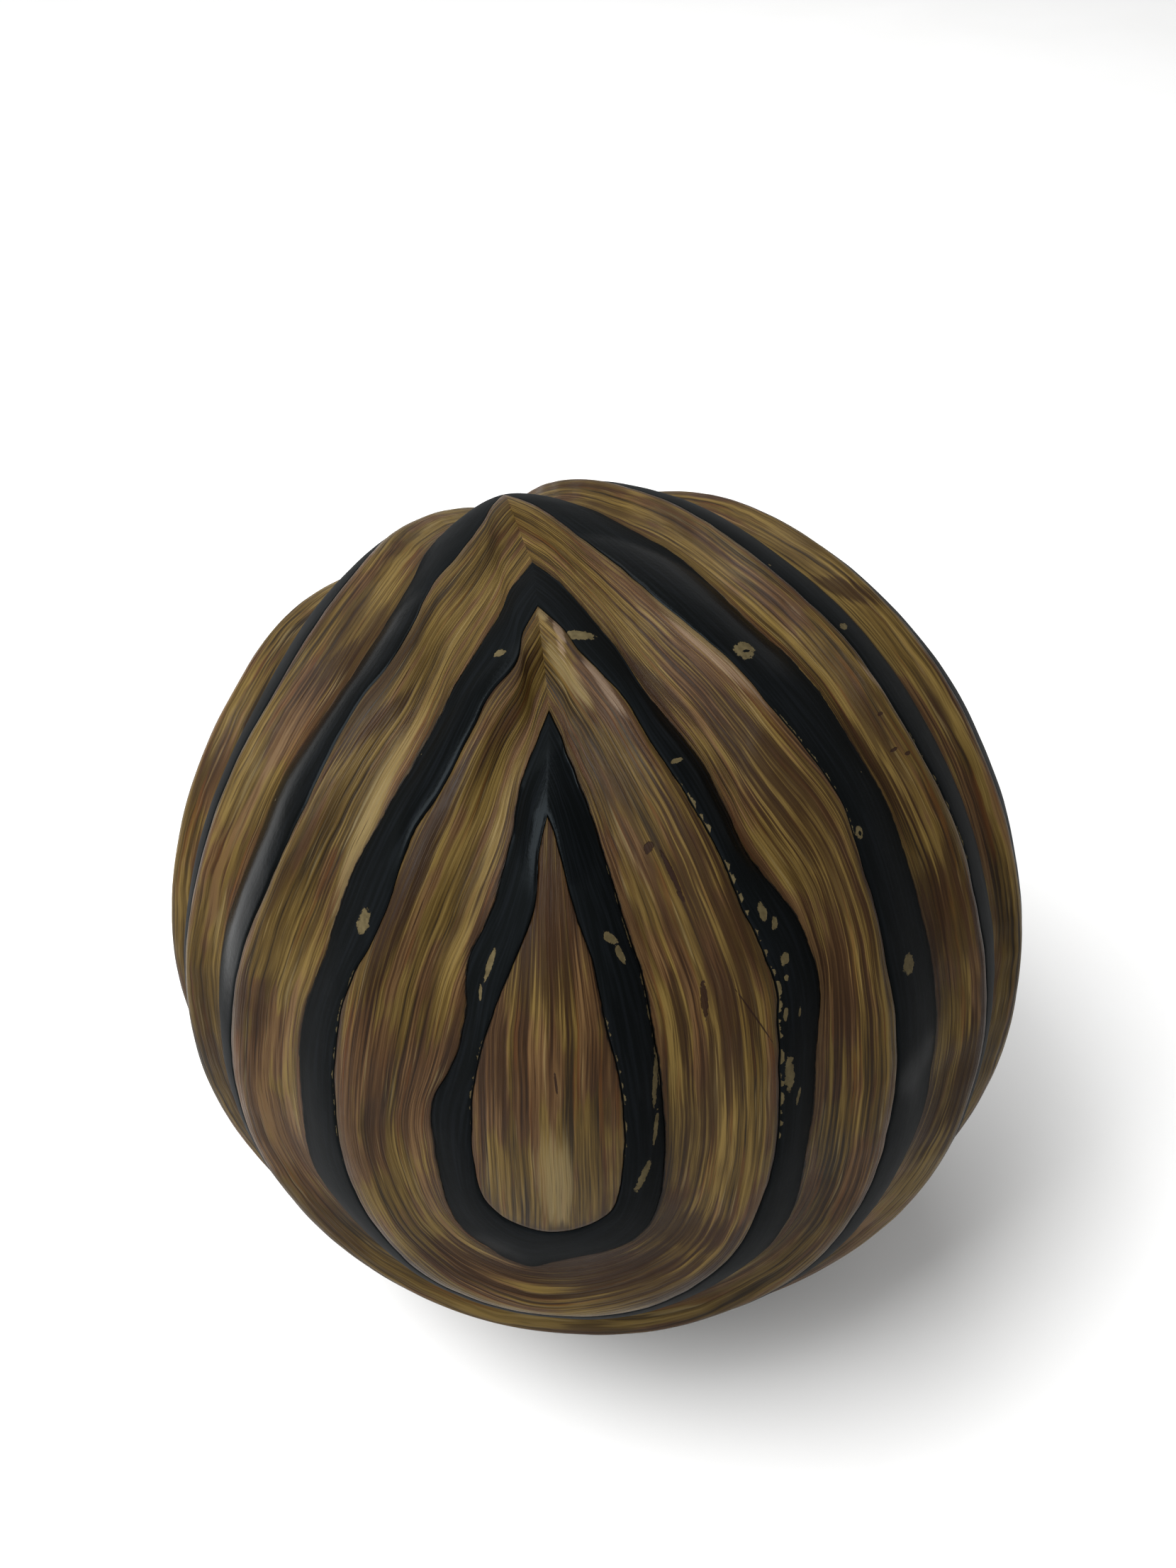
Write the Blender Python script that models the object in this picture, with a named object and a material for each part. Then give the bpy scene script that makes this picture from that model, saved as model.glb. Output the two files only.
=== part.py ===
"""A decorative ball with a deep relief of nested teardrop waves.

The ball is a hollow core in two halves, joined by a spigot, that carries wood-toned bands and black bands.
Each band is a closed piece that lies round a teardrop, and its outer face is one flank of a wave: a wood-toned
band climbs to a crest at its outer edge, and the black band beyond it falls from that crest to the next valley.
A plug closes the pouring hole in the bottom of the core, and a felt pad under the plug is what the ball stands on.

Units are metres, +Z is up, and the origin is the centre of the pad's underside. The front faces -Y and upwards.
"""

import math

import bmesh
import bpy
from mathutils import Vector

MM = 0.001

# Ball and waves
CREST_RADIUS = 50.0 * MM
WAVE_DEPTH = 2.6 * MM
DROP_DISH = 0.7 * MM
BAND_BASE_RADIUS = 44.6 * MM
JOINT_GAP = 0.3 * MM

# Core
CORE_RADIUS = 43.8 * MM
CORE_WALL = 4.0 * MM
LIP_HEIGHT = 3.0 * MM
POUR_HOLE_RADIUS = 6.5 * MM
CORE_SIDES = 32
CORE_ARC_STEPS = 6

# Foot
PLUG_RADIUS = 9.5 * MM
PLUG_STEM_LENGTH = 6.0 * MM
PAD_RADIUS = 9.0 * MM
PAD_THICKNESS = 1.2 * MM
FOOT_DEPTH = 49.2 * MM
FOOT_SIDES = 48
CENTRE = Vector((0.0, 0.0, FOOT_DEPTH))

# Directions from the centre of the ball: the front pole, and right and up on the front as one faces it
FRONT_ELEVATION = math.radians(45.0)
FRONT = Vector((0.0, -math.cos(FRONT_ELEVATION), math.sin(FRONT_ELEVATION)))
RIGHT = Vector((1.0, 0.0, 0.0))
UP = Vector((0.0, math.sin(FRONT_ELEVATION), math.cos(FRONT_ELEVATION)))

# Stations along every outline, and the samples across a band as shares of its width
STATIONS = 52
DENSITY = 6
WOOD_SAMPLES = (0.0, 0.5, 0.88, 1.0)
BLACK_SAMPLES = (0.0, 0.5, 1.0)
BASE_SAMPLES = (0.0, 0.5, 1.0)
DROP_SHARES = (1.0, 0.8, 0.5, 0.25)

# The carved outlines on the front, from the drop outwards. A point is degrees to the right of the front pole and
# degrees above it, measured over the ball. Each outline starts at its pointed tip, goes down the left side, round
# the bottom and up the right side. All are laid out at crest level, as they look from LAYOUT_DISTANCE in front of
# the ball's centre; a valley then moves outwards to where it looks the same at its own depth, but never by more
# than VALLEY_SHIFT_LIMIT of its way to the next crest.
LAYOUT_DISTANCE = 200.0 * MM
VALLEY_SHIFT_LIMIT = 0.45
FRONT_OUTLINES = {
    "drop edge": [
        (-5.5, 9), (-6.3, 5), (-6.6, 0), (-8, -4), (-10, -9), (-12, -14), (-13.5, -19), (-14.5, -25), (-14.8, -32),
        (-14, -36), (-11, -39.5), (-6.5, -41), (-2, -40), (1, -38), (2.6, -34), (3, -28), (2.8, -24), (2, -18),
        (0.5, -12), (-0.8, -6), (-2.5, -1), (-3.8, 3), (-4.7, 7),
    ],
    "first valley": [
        (-5.4, 20.5), (-6.5, 17.5), (-8.3, 12), (-9, 7), (-10, 3), (-12, -3), (-14, -7.5), (-13.8, -10),
        (-15.5, -17), (-18.5, -22.5), (-18.8, -28), (-18.3, -35), (-17, -40), (-13, -44), (-8.5, -46.2),
        (-4.5, -44.5), (0, -43), (4, -41), (6.5, -37), (7.3, -30), (7, -22), (6, -15), (4.6, -8), (2.4, -1.5),
        (0.4, 5), (-1.6, 11), (-3.8, 17),
    ],
    "first crest": [
        (-7.3, 35.3), (-8.7, 33), (-9, 28), (-11.5, 24.5), (-14.5, 18), (-17, 12.3), (-19.5, 9), (-21.5, 5),
        (-23, 0), (-24.2, -3), (-27, -7), (-29.5, -12), (-31, -18), (-32.3, -26), (-32.7, -34), (-31.5, -41),
        (-29, -48), (-24, -55), (-16, -59), (-8, -60.5), (0, -60), (6, -58), (12, -53.5), (17, -47),
        (19.5, -39), (20.8, -30), (20.5, -22), (19.7, -14), (19.2, -9), (17, -4), (14.5, 1), (12, 6.5), (9, 12),
        (5.5, 17.5), (2.5, 23), (-1.5, 27.5), (-4, 31.5),
    ],
    "second valley": [
        (-8.3, 42.3), (-10.5, 38), (-12.5, 32), (-15.5, 26), (-19, 17.5), (-23, 11), (-26, 5.5), (-29, 0),
        (-31, -6), (-34, -11.5), (-36, -17), (-36.8, -24), (-37.8, -31), (-37.5, -37), (-35.5, -43),
        (-32, -50), (-27, -57), (-19, -62.5), (-8, -65.5), (2, -65), (10, -61), (16, -54.5), (20.5, -48),
        (23, -43), (24.5, -37), (24.6, -30), (24.7, -22), (24.2, -14), (24.3, -9), (22.5, -4), (20, 0), (16, 4),
        (13.5, 10), (10.5, 16), (6, 21.5), (3, 27), (-1, 33), (-4.5, 38),
    ],
    "second crest": [
        (-15.5, 66), (-16.5, 60), (-17, 54), (-19, 47), (-21.5, 42), (-23, 35), (-25.5, 29), (-30, 22.5),
        (-33, 16), (-36, 10), (-39, 5), (-42, 0), (-45, -5), (-48, -11), (-50.5, -19), (-52, -27), (-52.5, -34),
        (-51.5, -42), (-47, -52), (-38, -62), (-25, -70), (-8, -74), (8, -71), (20, -65), (29, -58), (34, -49),
        (36.5, -40), (37.3, -32), (37, -25), (36.5, -19), (35, -11), (33, -5), (31, 2), (29, 8), (27, 13),
        (22, 19), (16, 27), (9, 34), (3, 41), (-2, 47.5), (-6, 53), (-11, 60),
    ],
    "third valley": [
        (-18, 76), (-21, 66), (-22, 58), (-22.7, 52), (-24, 46), (-25, 39), (-28, 32), (-32, 24.5), (-37, 18.5),
        (-40, 13), (-43, 6), (-46, 1), (-50, -5), (-52.5, -11), (-54, -18), (-56, -27), (-57.5, -34),
        (-57, -43), (-53, -54), (-43, -66), (-28, -75), (-8, -79.5), (11, -76), (25, -69), (35, -60), (40, -50),
        (41.8, -42), (42.6, -35), (42.7, -28), (42.7, -20), (42, -12), (39.5, -5), (37, 3), (35, 9), (31, 16),
        (27.5, 22), (24, 27.5), (18, 33.5), (13, 40), (9.5, 44.5), (3.5, 49.5), (0, 55), (-4, 61), (-11, 69),
    ],
    "third crest": [
        (-22, 94), (-30, 80), (-35, 66), (-36, 57), (-37.5, 49), (-40, 42), (-43.5, 32), (-47.5, 24), (-51, 18),
        (-55, 10), (-58, 3), (-61, -3), (-63.5, -10), (-66, -18), (-68, -27), (-69.5, -36), (-69, -48),
        (-64, -61), (-53, -74), (-34, -86), (-8, -91), (16, -88), (35, -79), (48, -67), (54, -54), (56, -42),
        (56, -34), (56.2, -26), (55.5, -18), (54, -12), (52, -6), (50, 0), (48, 6), (45, 12), (41, 19),
        (37, 26), (33, 33), (28, 39), (23, 45), (18, 51), (13, 57), (8, 62), (4, 66), (-4, 75),
    ],
    "fourth valley": [
        (-24, 101), (-34, 87), (-42, 71), (-44.5, 58), (-44.5, 48), (-46, 38), (-48.5, 31), (-51.5, 24),
        (-56, 17), (-60, 9), (-65, 0), (-68, -7), (-70.5, -16), (-73, -27), (-75, -38), (-74, -52), (-68, -66),
        (-55, -80), (-34, -92), (-8, -97), (18, -94), (38, -85), (52, -72), (58.5, -58), (60, -45), (59.5, -35),
        (59.3, -28), (59, -20), (58, -12), (56, -3), (53, 5), (49, 13), (44.5, 21), (41, 28), (37, 34),
        (30, 43), (24, 52), (18, 61), (11, 70), (0, 81),
    ],
    "fourth crest": [
        (-26, 115), (-42, 98), (-54, 78), (-58, 60), (-59.5, 46), (-61, 36), (-64, 27), (-68, 19), (-72, 9),
        (-76, -3), (-79, -14), (-82, -26), (-84, -38), (-83, -54), (-76, -71), (-62, -87), (-38, -101),
        (-8, -107), (22, -104), (45, -94), (62, -79), (69, -62), (71, -46), (71, -34), (70.5, -25), (69.5, -15),
        (68, -5), (65, 4), (62, 12), (59, 20), (55, 28), (51.5, 36), (48, 42), (43, 49), (37, 57), (29, 68),
        (18, 82), (2, 98),
    ],
}

# Rings between the front's fourth crest and the back's second crest, as shares of the way from one to the other
FIFTH_VALLEY_SHARE = 0.17
FIFTH_CREST_SHARE = 0.62
SEAM_START_SHARE = 0.63

# The back repeats this many of the inner outlines about the opposite pole, turned so that their tips point right
BACK_OUTLINES = 5

COLOURS = {
    "wood": (0.29, 0.22, 0.11),
    "black": (0.018, 0.019, 0.021),
    "resin": (0.52, 0.45, 0.34),
    "felt": (0.03, 0.03, 0.03),
}
ROUGHNESS = {"wood": 0.45, "black": 0.35, "resin": 0.7, "felt": 0.95}
SHARP_EDGE_ANGLE = math.radians(35.0)


def finish(name, kind):
    """A plain material of one of the four kinds, for the piece of that name."""
    material = bpy.data.materials.new(name + "_" + kind)
    material.use_nodes = True
    shader = material.node_tree.nodes["Principled BSDF"]
    shader.inputs["Base Color"].default_value = (*COLOURS[kind], 1.0)
    shader.inputs["Roughness"].default_value = ROUGHNESS[kind]
    shader.inputs["Metallic"].default_value = 0.0
    return material


def add_piece(name, points, faces, kind):
    """A closed piece from points, measured from the centre of the ball, and faces that may still need turning."""
    mesh = bpy.data.meshes.new(name)
    mesh.from_pydata([tuple(point) for point in points], [], faces)
    body = bmesh.new()
    body.from_mesh(mesh)
    bmesh.ops.recalc_face_normals(body, faces=body.faces)
    if body.calc_volume(signed=True) < 0.0:
        bmesh.ops.reverse_faces(body, faces=body.faces)
    body.to_mesh(mesh)
    body.free()
    mesh.shade_smooth()
    mesh.set_sharp_from_angle(angle=SHARP_EDGE_ANGLE)
    piece = bpy.data.objects.new(name, mesh)
    piece.location = CENTRE
    bpy.context.scene.collection.objects.link(piece)
    mesh.materials.append(finish(name, kind))
    return piece


# Outlines on the ball -------------------------------------------------------------------------------------------

def on_front(right_degrees, up_degrees):
    """Direction of a point that lies so many degrees to the right of the front pole and above it."""
    away = math.radians(math.hypot(right_degrees, up_degrees))
    turn = math.atan2(right_degrees, up_degrees)
    across = RIGHT * math.sin(turn) + UP * math.cos(turn)
    return FRONT * math.cos(away) + across * math.sin(away)


def smooth_closed(points):
    """A smooth curve through the points that starts and ends at the first one, where it keeps a corner."""
    knots = [Vector(point) for point in points] + [Vector(points[0])]
    steps = [math.sqrt((after - before).length) for before, after in zip(knots, knots[1:])]
    slopes = [(after - before) / step for before, after, step in zip(knots, knots[1:], steps)]
    tangents = [slopes[0]]
    for i in range(1, len(slopes)):
        weighted = slopes[i - 1] * steps[i] + slopes[i] * steps[i - 1]
        tangents.append(weighted / (steps[i - 1] + steps[i]))
    tangents.append(slopes[-1])
    curve = []
    for i, step in enumerate(steps):
        for part in range(DENSITY):
            t = part / DENSITY
            start = knots[i] * (2 * t**3 - 3 * t**2 + 1) + tangents[i] * step * (t**3 - 2 * t**2 + t)
            end = knots[i + 1] * (3 * t**2 - 2 * t**3) + tangents[i + 1] * step * (t**3 - t**2)
            curve.append(start + end)
    curve.append(knots[-1])
    return curve


def evenly(path, count):
    """Directions at equal distances along a path of directions, without its last point."""
    reached = [0.0]
    for before, after in zip(path, path[1:]):
        reached.append(reached[-1] + (after - before).length)
    result = []
    segment = 0
    for i in range(count):
        wanted = reached[-1] * i / count
        while reached[segment + 1] < wanted:
            segment += 1
        share = (wanted - reached[segment]) / (reached[segment + 1] - reached[segment])
        result.append(path[segment].lerp(path[segment + 1], share).normalized())
    return result


def stations(name):
    """Directions along a front outline: half of them down its left side to the far end, half up its right side."""
    path = [on_front(*point) for point in smooth_closed(FRONT_OUTLINES[name])]
    far = max(range(len(path)), key=lambda i: (path[i] - path[0]).length)
    return evenly(path[: far + 1], STATIONS // 2) + evenly(path[far:], STATIONS // 2)


def turned_to_back(direction):
    """The direction on the back of the ball that matches one on the front."""
    right = direction.dot(RIGHT)
    up = direction.dot(UP)
    return UP * right + RIGHT * up - FRONT * direction.dot(FRONT)


def polar(direction):
    """Turn about the front pole, and angle away from it, in radians."""
    return math.atan2(direction.dot(RIGHT), direction.dot(UP)), math.acos(direction.dot(FRONT))


def from_polar(turn, away):
    """Direction at a turn about the front pole and an angle away from it."""
    across = RIGHT * math.sin(turn) + UP * math.cos(turn)
    return FRONT * math.cos(away) + across * math.sin(away)


def away_at(outline, turn):
    """Angle from the front pole at which an outline round the ball crosses a turn."""
    corners = [polar(direction) for direction in outline]
    for (turn_a, away_a), (turn_b, away_b) in zip(corners, corners[1:] + corners[:1]):
        span = math.remainder(turn_b - turn_a, math.tau)
        along = math.remainder(turn - turn_a, math.tau)
        if span != 0.0 and 0.0 <= along / span <= 1.0:
            return away_a + (away_b - away_a) * along / span
    raise ValueError("the outline does not go round the ball")


def lowered_angle(away):
    """Angle from the front pole at which the valley floor looks as if it were crest level at the given angle."""
    bend = math.atan2(CREST_RADIUS * math.sin(away), LAYOUT_DISTANCE - CREST_RADIUS * math.cos(away))
    reach = LAYOUT_DISTANCE * math.sin(bend) / (CREST_RADIUS - WAVE_DEPTH)
    if away + bend > math.pi / 2.0 or reach > 1.0:
        return math.pi
    return math.asin(reach) - bend


def lower_valleys(outlines):
    """The outlines with every valley, which is every second one, moved outwards to suit its depth."""
    result = list(outlines)
    for i in range(1, len(outlines), 2):
        result[i] = []
        for direction in outlines[i]:
            turn, away = polar(direction)
            limit = away + (away_at(outlines[i + 1], turn) - away) * VALLEY_SHIFT_LIMIT
            result[i].append(from_polar(turn, min(lowered_angle(away), limit)))
    return result


def joining_turns(crest, other_crest):
    """Turns of a crest's stations, with the other crest's tip put in among them, so that both corners stay."""
    turns = [polar(direction)[0] for direction in crest]
    tip = polar(other_crest[0])[0]
    for i in range(1, len(turns)):
        share = math.remainder(tip - turns[i - 1], math.tau) / math.remainder(turns[i] - turns[i - 1], math.tau)
        if 0.0 < share < 1.0:
            turns.insert(i, tip)
            break
    return turns


def between(front_crest, back_crest, turns, share):
    """An outline that lies at a share of the way from the front crest to the back crest."""
    outline = []
    for turn in turns:
        start = away_at(front_crest, turn)
        end = away_at(back_crest, turn)
        outline.append(from_polar(turn, start + (end - start) * share))
    return outline


# Waves across a band --------------------------------------------------------------------------------------------

def rising_wave(share):
    """Depth below the crest across a wood-toned band: a valley at the inner edge, a crest near the outer one."""
    crest_at = WOOD_SAMPLES[-2]
    return WAVE_DEPTH * 0.5 * (1.0 + math.cos(math.pi * min(share / crest_at, 1.0)))


def falling_wave(share):
    """Depth below the crest across a black band, from the crest at its inner edge to the next valley."""
    return WAVE_DEPTH * 0.5 * (1.0 - math.cos(math.pi * share))


def first_fall(share):
    """Depth across the black band round the drop, which starts at the drop's lower edge."""
    return DROP_DISH + (WAVE_DEPTH - DROP_DISH) * falling_wave(share) / WAVE_DEPTH


def meeting_waves(share):
    """Depth across the band where the front's waves meet the back's: a valley between two crests."""
    return WAVE_DEPTH * math.sin(math.pi * share)


def inset(outline, towards):
    """An outline moved by half a joint gap towards another one."""
    step = 0.5 * JOINT_GAP / CREST_RADIUS
    return [(a + (b - a).normalized() * step).normalized() for a, b in zip(outline, towards)]


def add_band(name, kind, inner, outer, depth, samples):
    """A closed ring between two outlines, with a wave on its outer side and a round seat on its inner side."""
    start = inset(inner, outer)
    end = inset(outer, inner)
    section = [(share, CREST_RADIUS - depth(share)) for share in samples]
    section += [(share, BAND_BASE_RADIUS) for share in reversed(BASE_SAMPLES)]
    points = []
    for a, b in zip(start, end):
        points += [a.slerp(b, share) * radius for share, radius in section]
    width = len(section)
    faces = []
    for i in range(len(start)):
        here = i * width
        there = (i + 1) % len(start) * width
        for j in range(width):
            k = (j + 1) % width
            faces.append((here + j, here + k, there + k, there + j))
    return add_piece(name, points, faces, kind)


def add_drop(name, outline, kind):
    """The drop in the middle of a side: a cushion that is closed by one point above and one below."""
    middle = sum(outline, Vector()).normalized()
    edge = inset(outline, [middle] * STATIONS)
    points = []
    for share in DROP_SHARES:
        depth = DROP_DISH * share**2
        points += [middle.slerp(direction, share) * (CREST_RADIUS - depth) for direction in edge]
    for share in DROP_SHARES[::2]:
        points += [middle.slerp(direction, share) * BAND_BASE_RADIUS for direction in edge]
    top = len(points)
    points += [middle * CREST_RADIUS, middle * BAND_BASE_RADIUS]
    loops = len(DROP_SHARES)
    strips = [(i, i + 1) for i in range(loops - 1)] + [(0, loops), (loops, loops + 1)]
    faces = []
    for i in range(STATIONS):
        j = (i + 1) % STATIONS
        for a, b in strips:
            faces.append((a * STATIONS + i, a * STATIONS + j, b * STATIONS + j, b * STATIONS + i))
        faces.append(((loops - 1) * STATIONS + i, (loops - 1) * STATIONS + j, top))
        faces.append(((loops + 1) * STATIONS + i, (loops + 1) * STATIONS + j, top + 1))
    return add_piece(name, points, faces, kind)


# Core and foot --------------------------------------------------------------------------------------------------

def add_turned(name, profile, kind, sides):
    """A piece turned about the vertical axis from a closed profile of (radius, height) points."""
    points = []
    columns = []
    for radius, height in profile:
        if radius == 0.0:
            columns.append([len(points)] * sides)
            points.append((0.0, 0.0, height))
            continue
        columns.append(range(len(points), len(points) + sides))
        for i in range(sides):
            turn = math.tau * i / sides
            points.append((radius * math.cos(turn), radius * math.sin(turn), height))
    faces = []
    for here, there in zip(columns, columns[1:] + columns[:1]):
        for i in range(sides):
            j = (i + 1) % sides
            face = list(dict.fromkeys((here[i], here[j], there[j], there[i])))
            if len(face) > 2:
                faces.append(face)
    return add_piece(name, points, faces, kind)


def arc(radius, start, end, steps):
    """Points of a turned arc, with angles measured down from the top."""
    turns = [start + (end - start) * i / steps for i in range(steps + 1)]
    return [(radius * math.sin(turn), radius * math.cos(turn)) for turn in turns]


def add_core():
    """Two hollow halves that meet at the waist: the lower half's lip stands inside the upper half."""
    inside = CORE_RADIUS - CORE_WALL
    lip_outer = CORE_RADIUS - CORE_WALL / 2.0
    half_gap = JOINT_GAP / 2.0
    quarter = math.pi / 2.0
    lean = math.asin(half_gap / CORE_RADIUS)
    inner_lean = math.asin((LIP_HEIGHT + JOINT_GAP) / inside)
    outside_arc = arc(CORE_RADIUS, 0.0, quarter - lean, CORE_ARC_STEPS)
    outside_arc[0] = (0.0, CORE_RADIUS)
    inside_arc = arc(inside, quarter - inner_lean, 0.0, CORE_ARC_STEPS)
    inside_arc[-1] = (0.0, inside)
    rebate = lip_outer + half_gap
    upper = outside_arc + [(rebate, half_gap), (rebate, LIP_HEIGHT + JOINT_GAP)] + inside_arc
    add_turned("core_upper_half", upper, "resin", CORE_SIDES)

    hole = math.asin(POUR_HOLE_RADIUS / CORE_RADIUS)
    inner_hole = math.asin(POUR_HOLE_RADIUS / inside)
    lower = arc(CORE_RADIUS, quarter + lean, math.pi - hole, CORE_ARC_STEPS)
    lower += arc(inside, math.pi - inner_hole, quarter, CORE_ARC_STEPS)
    lower += [(inside, LIP_HEIGHT), (lip_outer - half_gap, LIP_HEIGHT), (lip_outer - half_gap, -half_gap)]
    add_turned("core_lower_half", lower, "resin", CORE_SIDES)


def add_foot():
    """The plug that closes the pouring hole, and the felt pad under it that the ball stands on."""
    face = -FOOT_DEPTH + PAD_THICKNESS + JOINT_GAP
    shoulder = -BAND_BASE_RADIUS
    stem = POUR_HOLE_RADIUS - JOINT_GAP
    plug = [(0.0, shoulder + PLUG_STEM_LENGTH), (stem, shoulder + PLUG_STEM_LENGTH), (stem, shoulder)]
    plug += [(PLUG_RADIUS, shoulder), (PLUG_RADIUS, face), (0.0, face)]
    add_turned("base_plug", plug, "resin", FOOT_SIDES)
    top = -FOOT_DEPTH + PAD_THICKNESS
    pad = [(0.0, top), (PAD_RADIUS, top), (PAD_RADIUS, -FOOT_DEPTH), (0.0, -FOOT_DEPTH)]
    add_turned("felt_pad", pad, "felt", FOOT_SIDES)


def cut_for_plug(bands):
    """Opens the bands round the plug with a hidden cutter that is a joint gap wider than the plug."""
    radius = PLUG_RADIUS + JOINT_GAP
    top = CORE_WALL - CORE_RADIUS
    bottom = -CREST_RADIUS - WAVE_DEPTH
    profile = [(0.0, top), (radius, top), (radius, bottom), (0.0, bottom)]
    cutter = add_turned("plug_cutter", profile, "resin", FOOT_SIDES)
    cutter.hide_render = True
    cutter.display_type = "WIRE"
    for band in bands:
        cut = band.modifiers.new("plug opening", "BOOLEAN")
        cut.operation = "DIFFERENCE"
        cut.solver = "EXACT"
        cut.object = cutter


# The whole ball -------------------------------------------------------------------------------------------------

def add_side(prefix, outlines):
    """The drop and the rings of one side, from the middle outwards; a wood-toned ring follows each black one."""
    add_drop(prefix + "_drop", outlines[0], "wood")
    rings = []
    for i, (inner, outer) in enumerate(zip(outlines, outlines[1:])):
        number = i // 2 + 1
        if i == 0:
            ring = add_band(prefix + "_black_1", "black", inner, outer, first_fall, BLACK_SAMPLES)
        elif i % 2 == 0:
            name = prefix + "_black_" + str(number)
            ring = add_band(name, "black", inner, outer, falling_wave, BLACK_SAMPLES)
        else:
            name = prefix + "_wood_" + str(number)
            ring = add_band(name, "wood", inner, outer, rising_wave, WOOD_SAMPLES)
        rings.append(ring)
    return rings


def build():
    """Clears the scene and makes the ball."""
    for thing in list(bpy.data.objects):
        bpy.data.objects.remove(thing, do_unlink=True)
    front = lower_valleys([stations(name) for name in FRONT_OUTLINES])
    back = [[turned_to_back(direction) for direction in outline] for outline in front[:BACK_OUTLINES]]
    add_side("front", front)
    back_rings = add_side("back", back)

    crests = (front[-1], back[-1])
    turns = joining_turns(*crests)
    fourth_crest = between(*crests, turns, 0.0)
    fifth_valley = between(*crests, turns, FIFTH_VALLEY_SHARE)
    fifth_crest = between(*crests, turns, FIFTH_CREST_SHARE)
    add_band("front_black_5", "black", fourth_crest, fifth_valley, falling_wave, BLACK_SAMPLES)
    last_wood = add_band("front_wood_5", "wood", fifth_valley, fifth_crest, rising_wave, WOOD_SAMPLES)

    seam_turns = joining_turns(back[-1], front[-1])
    seam_start = between(*crests, seam_turns, SEAM_START_SHARE)
    seam_end = between(*crests, seam_turns, 1.0)
    seam = add_band("seam_black", "black", seam_start, seam_end, meeting_waves, BLACK_SAMPLES)

    add_core()
    add_foot()
    cut_for_plug([last_wood, seam] + back_rings[-2:])


build()
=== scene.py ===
"""The looks of a decorative ball with nested teardrop waves: carved bands painted as wood and in black, plug and foot.

The CAD bands give every outline. Each band is built again here as a fine closed mesh between its own two outlines,
with a carved wave across it, and carries its grain direction and the distances to its edges for its paint.
"""

import logging
import math
from dataclasses import dataclass, field
from enum import Enum

import bmesh
import bpy
import numpy as np
from mathutils import Euler, Matrix, Vector, noise


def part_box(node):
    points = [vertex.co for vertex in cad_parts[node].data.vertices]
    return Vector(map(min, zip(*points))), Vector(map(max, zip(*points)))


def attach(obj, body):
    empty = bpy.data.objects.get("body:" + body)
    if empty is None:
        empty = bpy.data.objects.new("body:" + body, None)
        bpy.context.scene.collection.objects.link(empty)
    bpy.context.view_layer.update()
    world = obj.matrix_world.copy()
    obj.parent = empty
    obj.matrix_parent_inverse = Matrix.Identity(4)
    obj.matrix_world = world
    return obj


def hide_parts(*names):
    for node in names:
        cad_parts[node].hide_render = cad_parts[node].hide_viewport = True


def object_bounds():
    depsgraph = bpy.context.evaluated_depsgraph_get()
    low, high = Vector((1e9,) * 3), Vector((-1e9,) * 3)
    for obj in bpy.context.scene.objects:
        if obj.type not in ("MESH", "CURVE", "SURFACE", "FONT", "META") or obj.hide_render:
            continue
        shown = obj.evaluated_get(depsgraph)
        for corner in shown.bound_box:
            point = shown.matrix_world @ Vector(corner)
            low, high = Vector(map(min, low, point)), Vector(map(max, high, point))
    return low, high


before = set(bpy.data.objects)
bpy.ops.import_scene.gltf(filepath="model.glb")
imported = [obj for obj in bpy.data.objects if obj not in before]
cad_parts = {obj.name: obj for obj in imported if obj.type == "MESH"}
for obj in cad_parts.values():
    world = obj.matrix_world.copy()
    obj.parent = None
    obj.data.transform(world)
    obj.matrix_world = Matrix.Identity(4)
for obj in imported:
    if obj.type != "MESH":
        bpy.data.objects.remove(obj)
CAD_BOX = [list(corner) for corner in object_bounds()]
LOG = logging.getLogger("teardrop_ball")

MM = 0.001
BALL_RADIUS = 50.0 * MM
WAVE_DEPTH = 2.6 * MM
DROP_DISH = 0.7 * MM
FRONT_ELEVATION = math.radians(45.0)
FRONT_WAVES = 5
BACK_WAVES = 2
FIFTH_CREST_SHARE = 0.62
JOINT_GAP = 0.3 * MM
UPRIGHT_ANGLE = 0.002

RIGHT = np.array((1.0, 0.0, 0.0))
UP = np.array((0.0, math.sin(FRONT_ELEVATION), math.cos(FRONT_ELEVATION)))
FRONT = np.array((0.0, -math.cos(FRONT_ELEVATION), math.sin(FRONT_ELEVATION)))


class Side(Enum):
    """The side of a band that an outline or a worn edge lies on."""

    INNER = "inner"
    OUTER = "outer"


class Wave(Enum):
    """The shape of a band's outer face, from its inner outline to its outer one."""

    RISING = "rising"
    FALLING = "falling"
    FIRST_FALL = "first fall"
    MEETING = "meeting"


# Directions and outlines ----------------------------------------------------------------------------------------

def unit(rows: np.ndarray) -> np.ndarray:
    """Rows of vectors scaled to unit length."""
    return rows / np.linalg.norm(rows, axis=-1, keepdims=True)


def on_front(right_degrees: float, up_degrees: float) -> np.ndarray:
    """Direction of a point on the front.

    Args:
        right_degrees: how far the point lies to the right of the front pole.
        up_degrees: how far it lies above the front pole.

    Returns:
        The unit vector from the ball's centre to the point.
    """
    away = math.radians(math.hypot(right_degrees, up_degrees))
    turn = math.atan2(right_degrees, up_degrees)
    across = RIGHT * math.sin(turn) + UP * math.cos(turn)
    return FRONT * math.cos(away) + across * math.sin(away)


def turned_to_back(rows: np.ndarray) -> np.ndarray:
    """Directions on the back of the ball that match directions on the front."""
    return np.outer(rows @ RIGHT, UP) + np.outer(rows @ UP, RIGHT) - np.outer(rows @ FRONT, FRONT)


def ball_centre() -> np.ndarray:
    """Centre of the ball: one core radius below the top of the core's upper half."""
    low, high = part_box("core_upper_half")
    radius = (high.x - low.x) / 2.0
    return np.array(((low.x + high.x) / 2.0, (low.y + high.y) / 2.0, high.z - radius))


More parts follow.
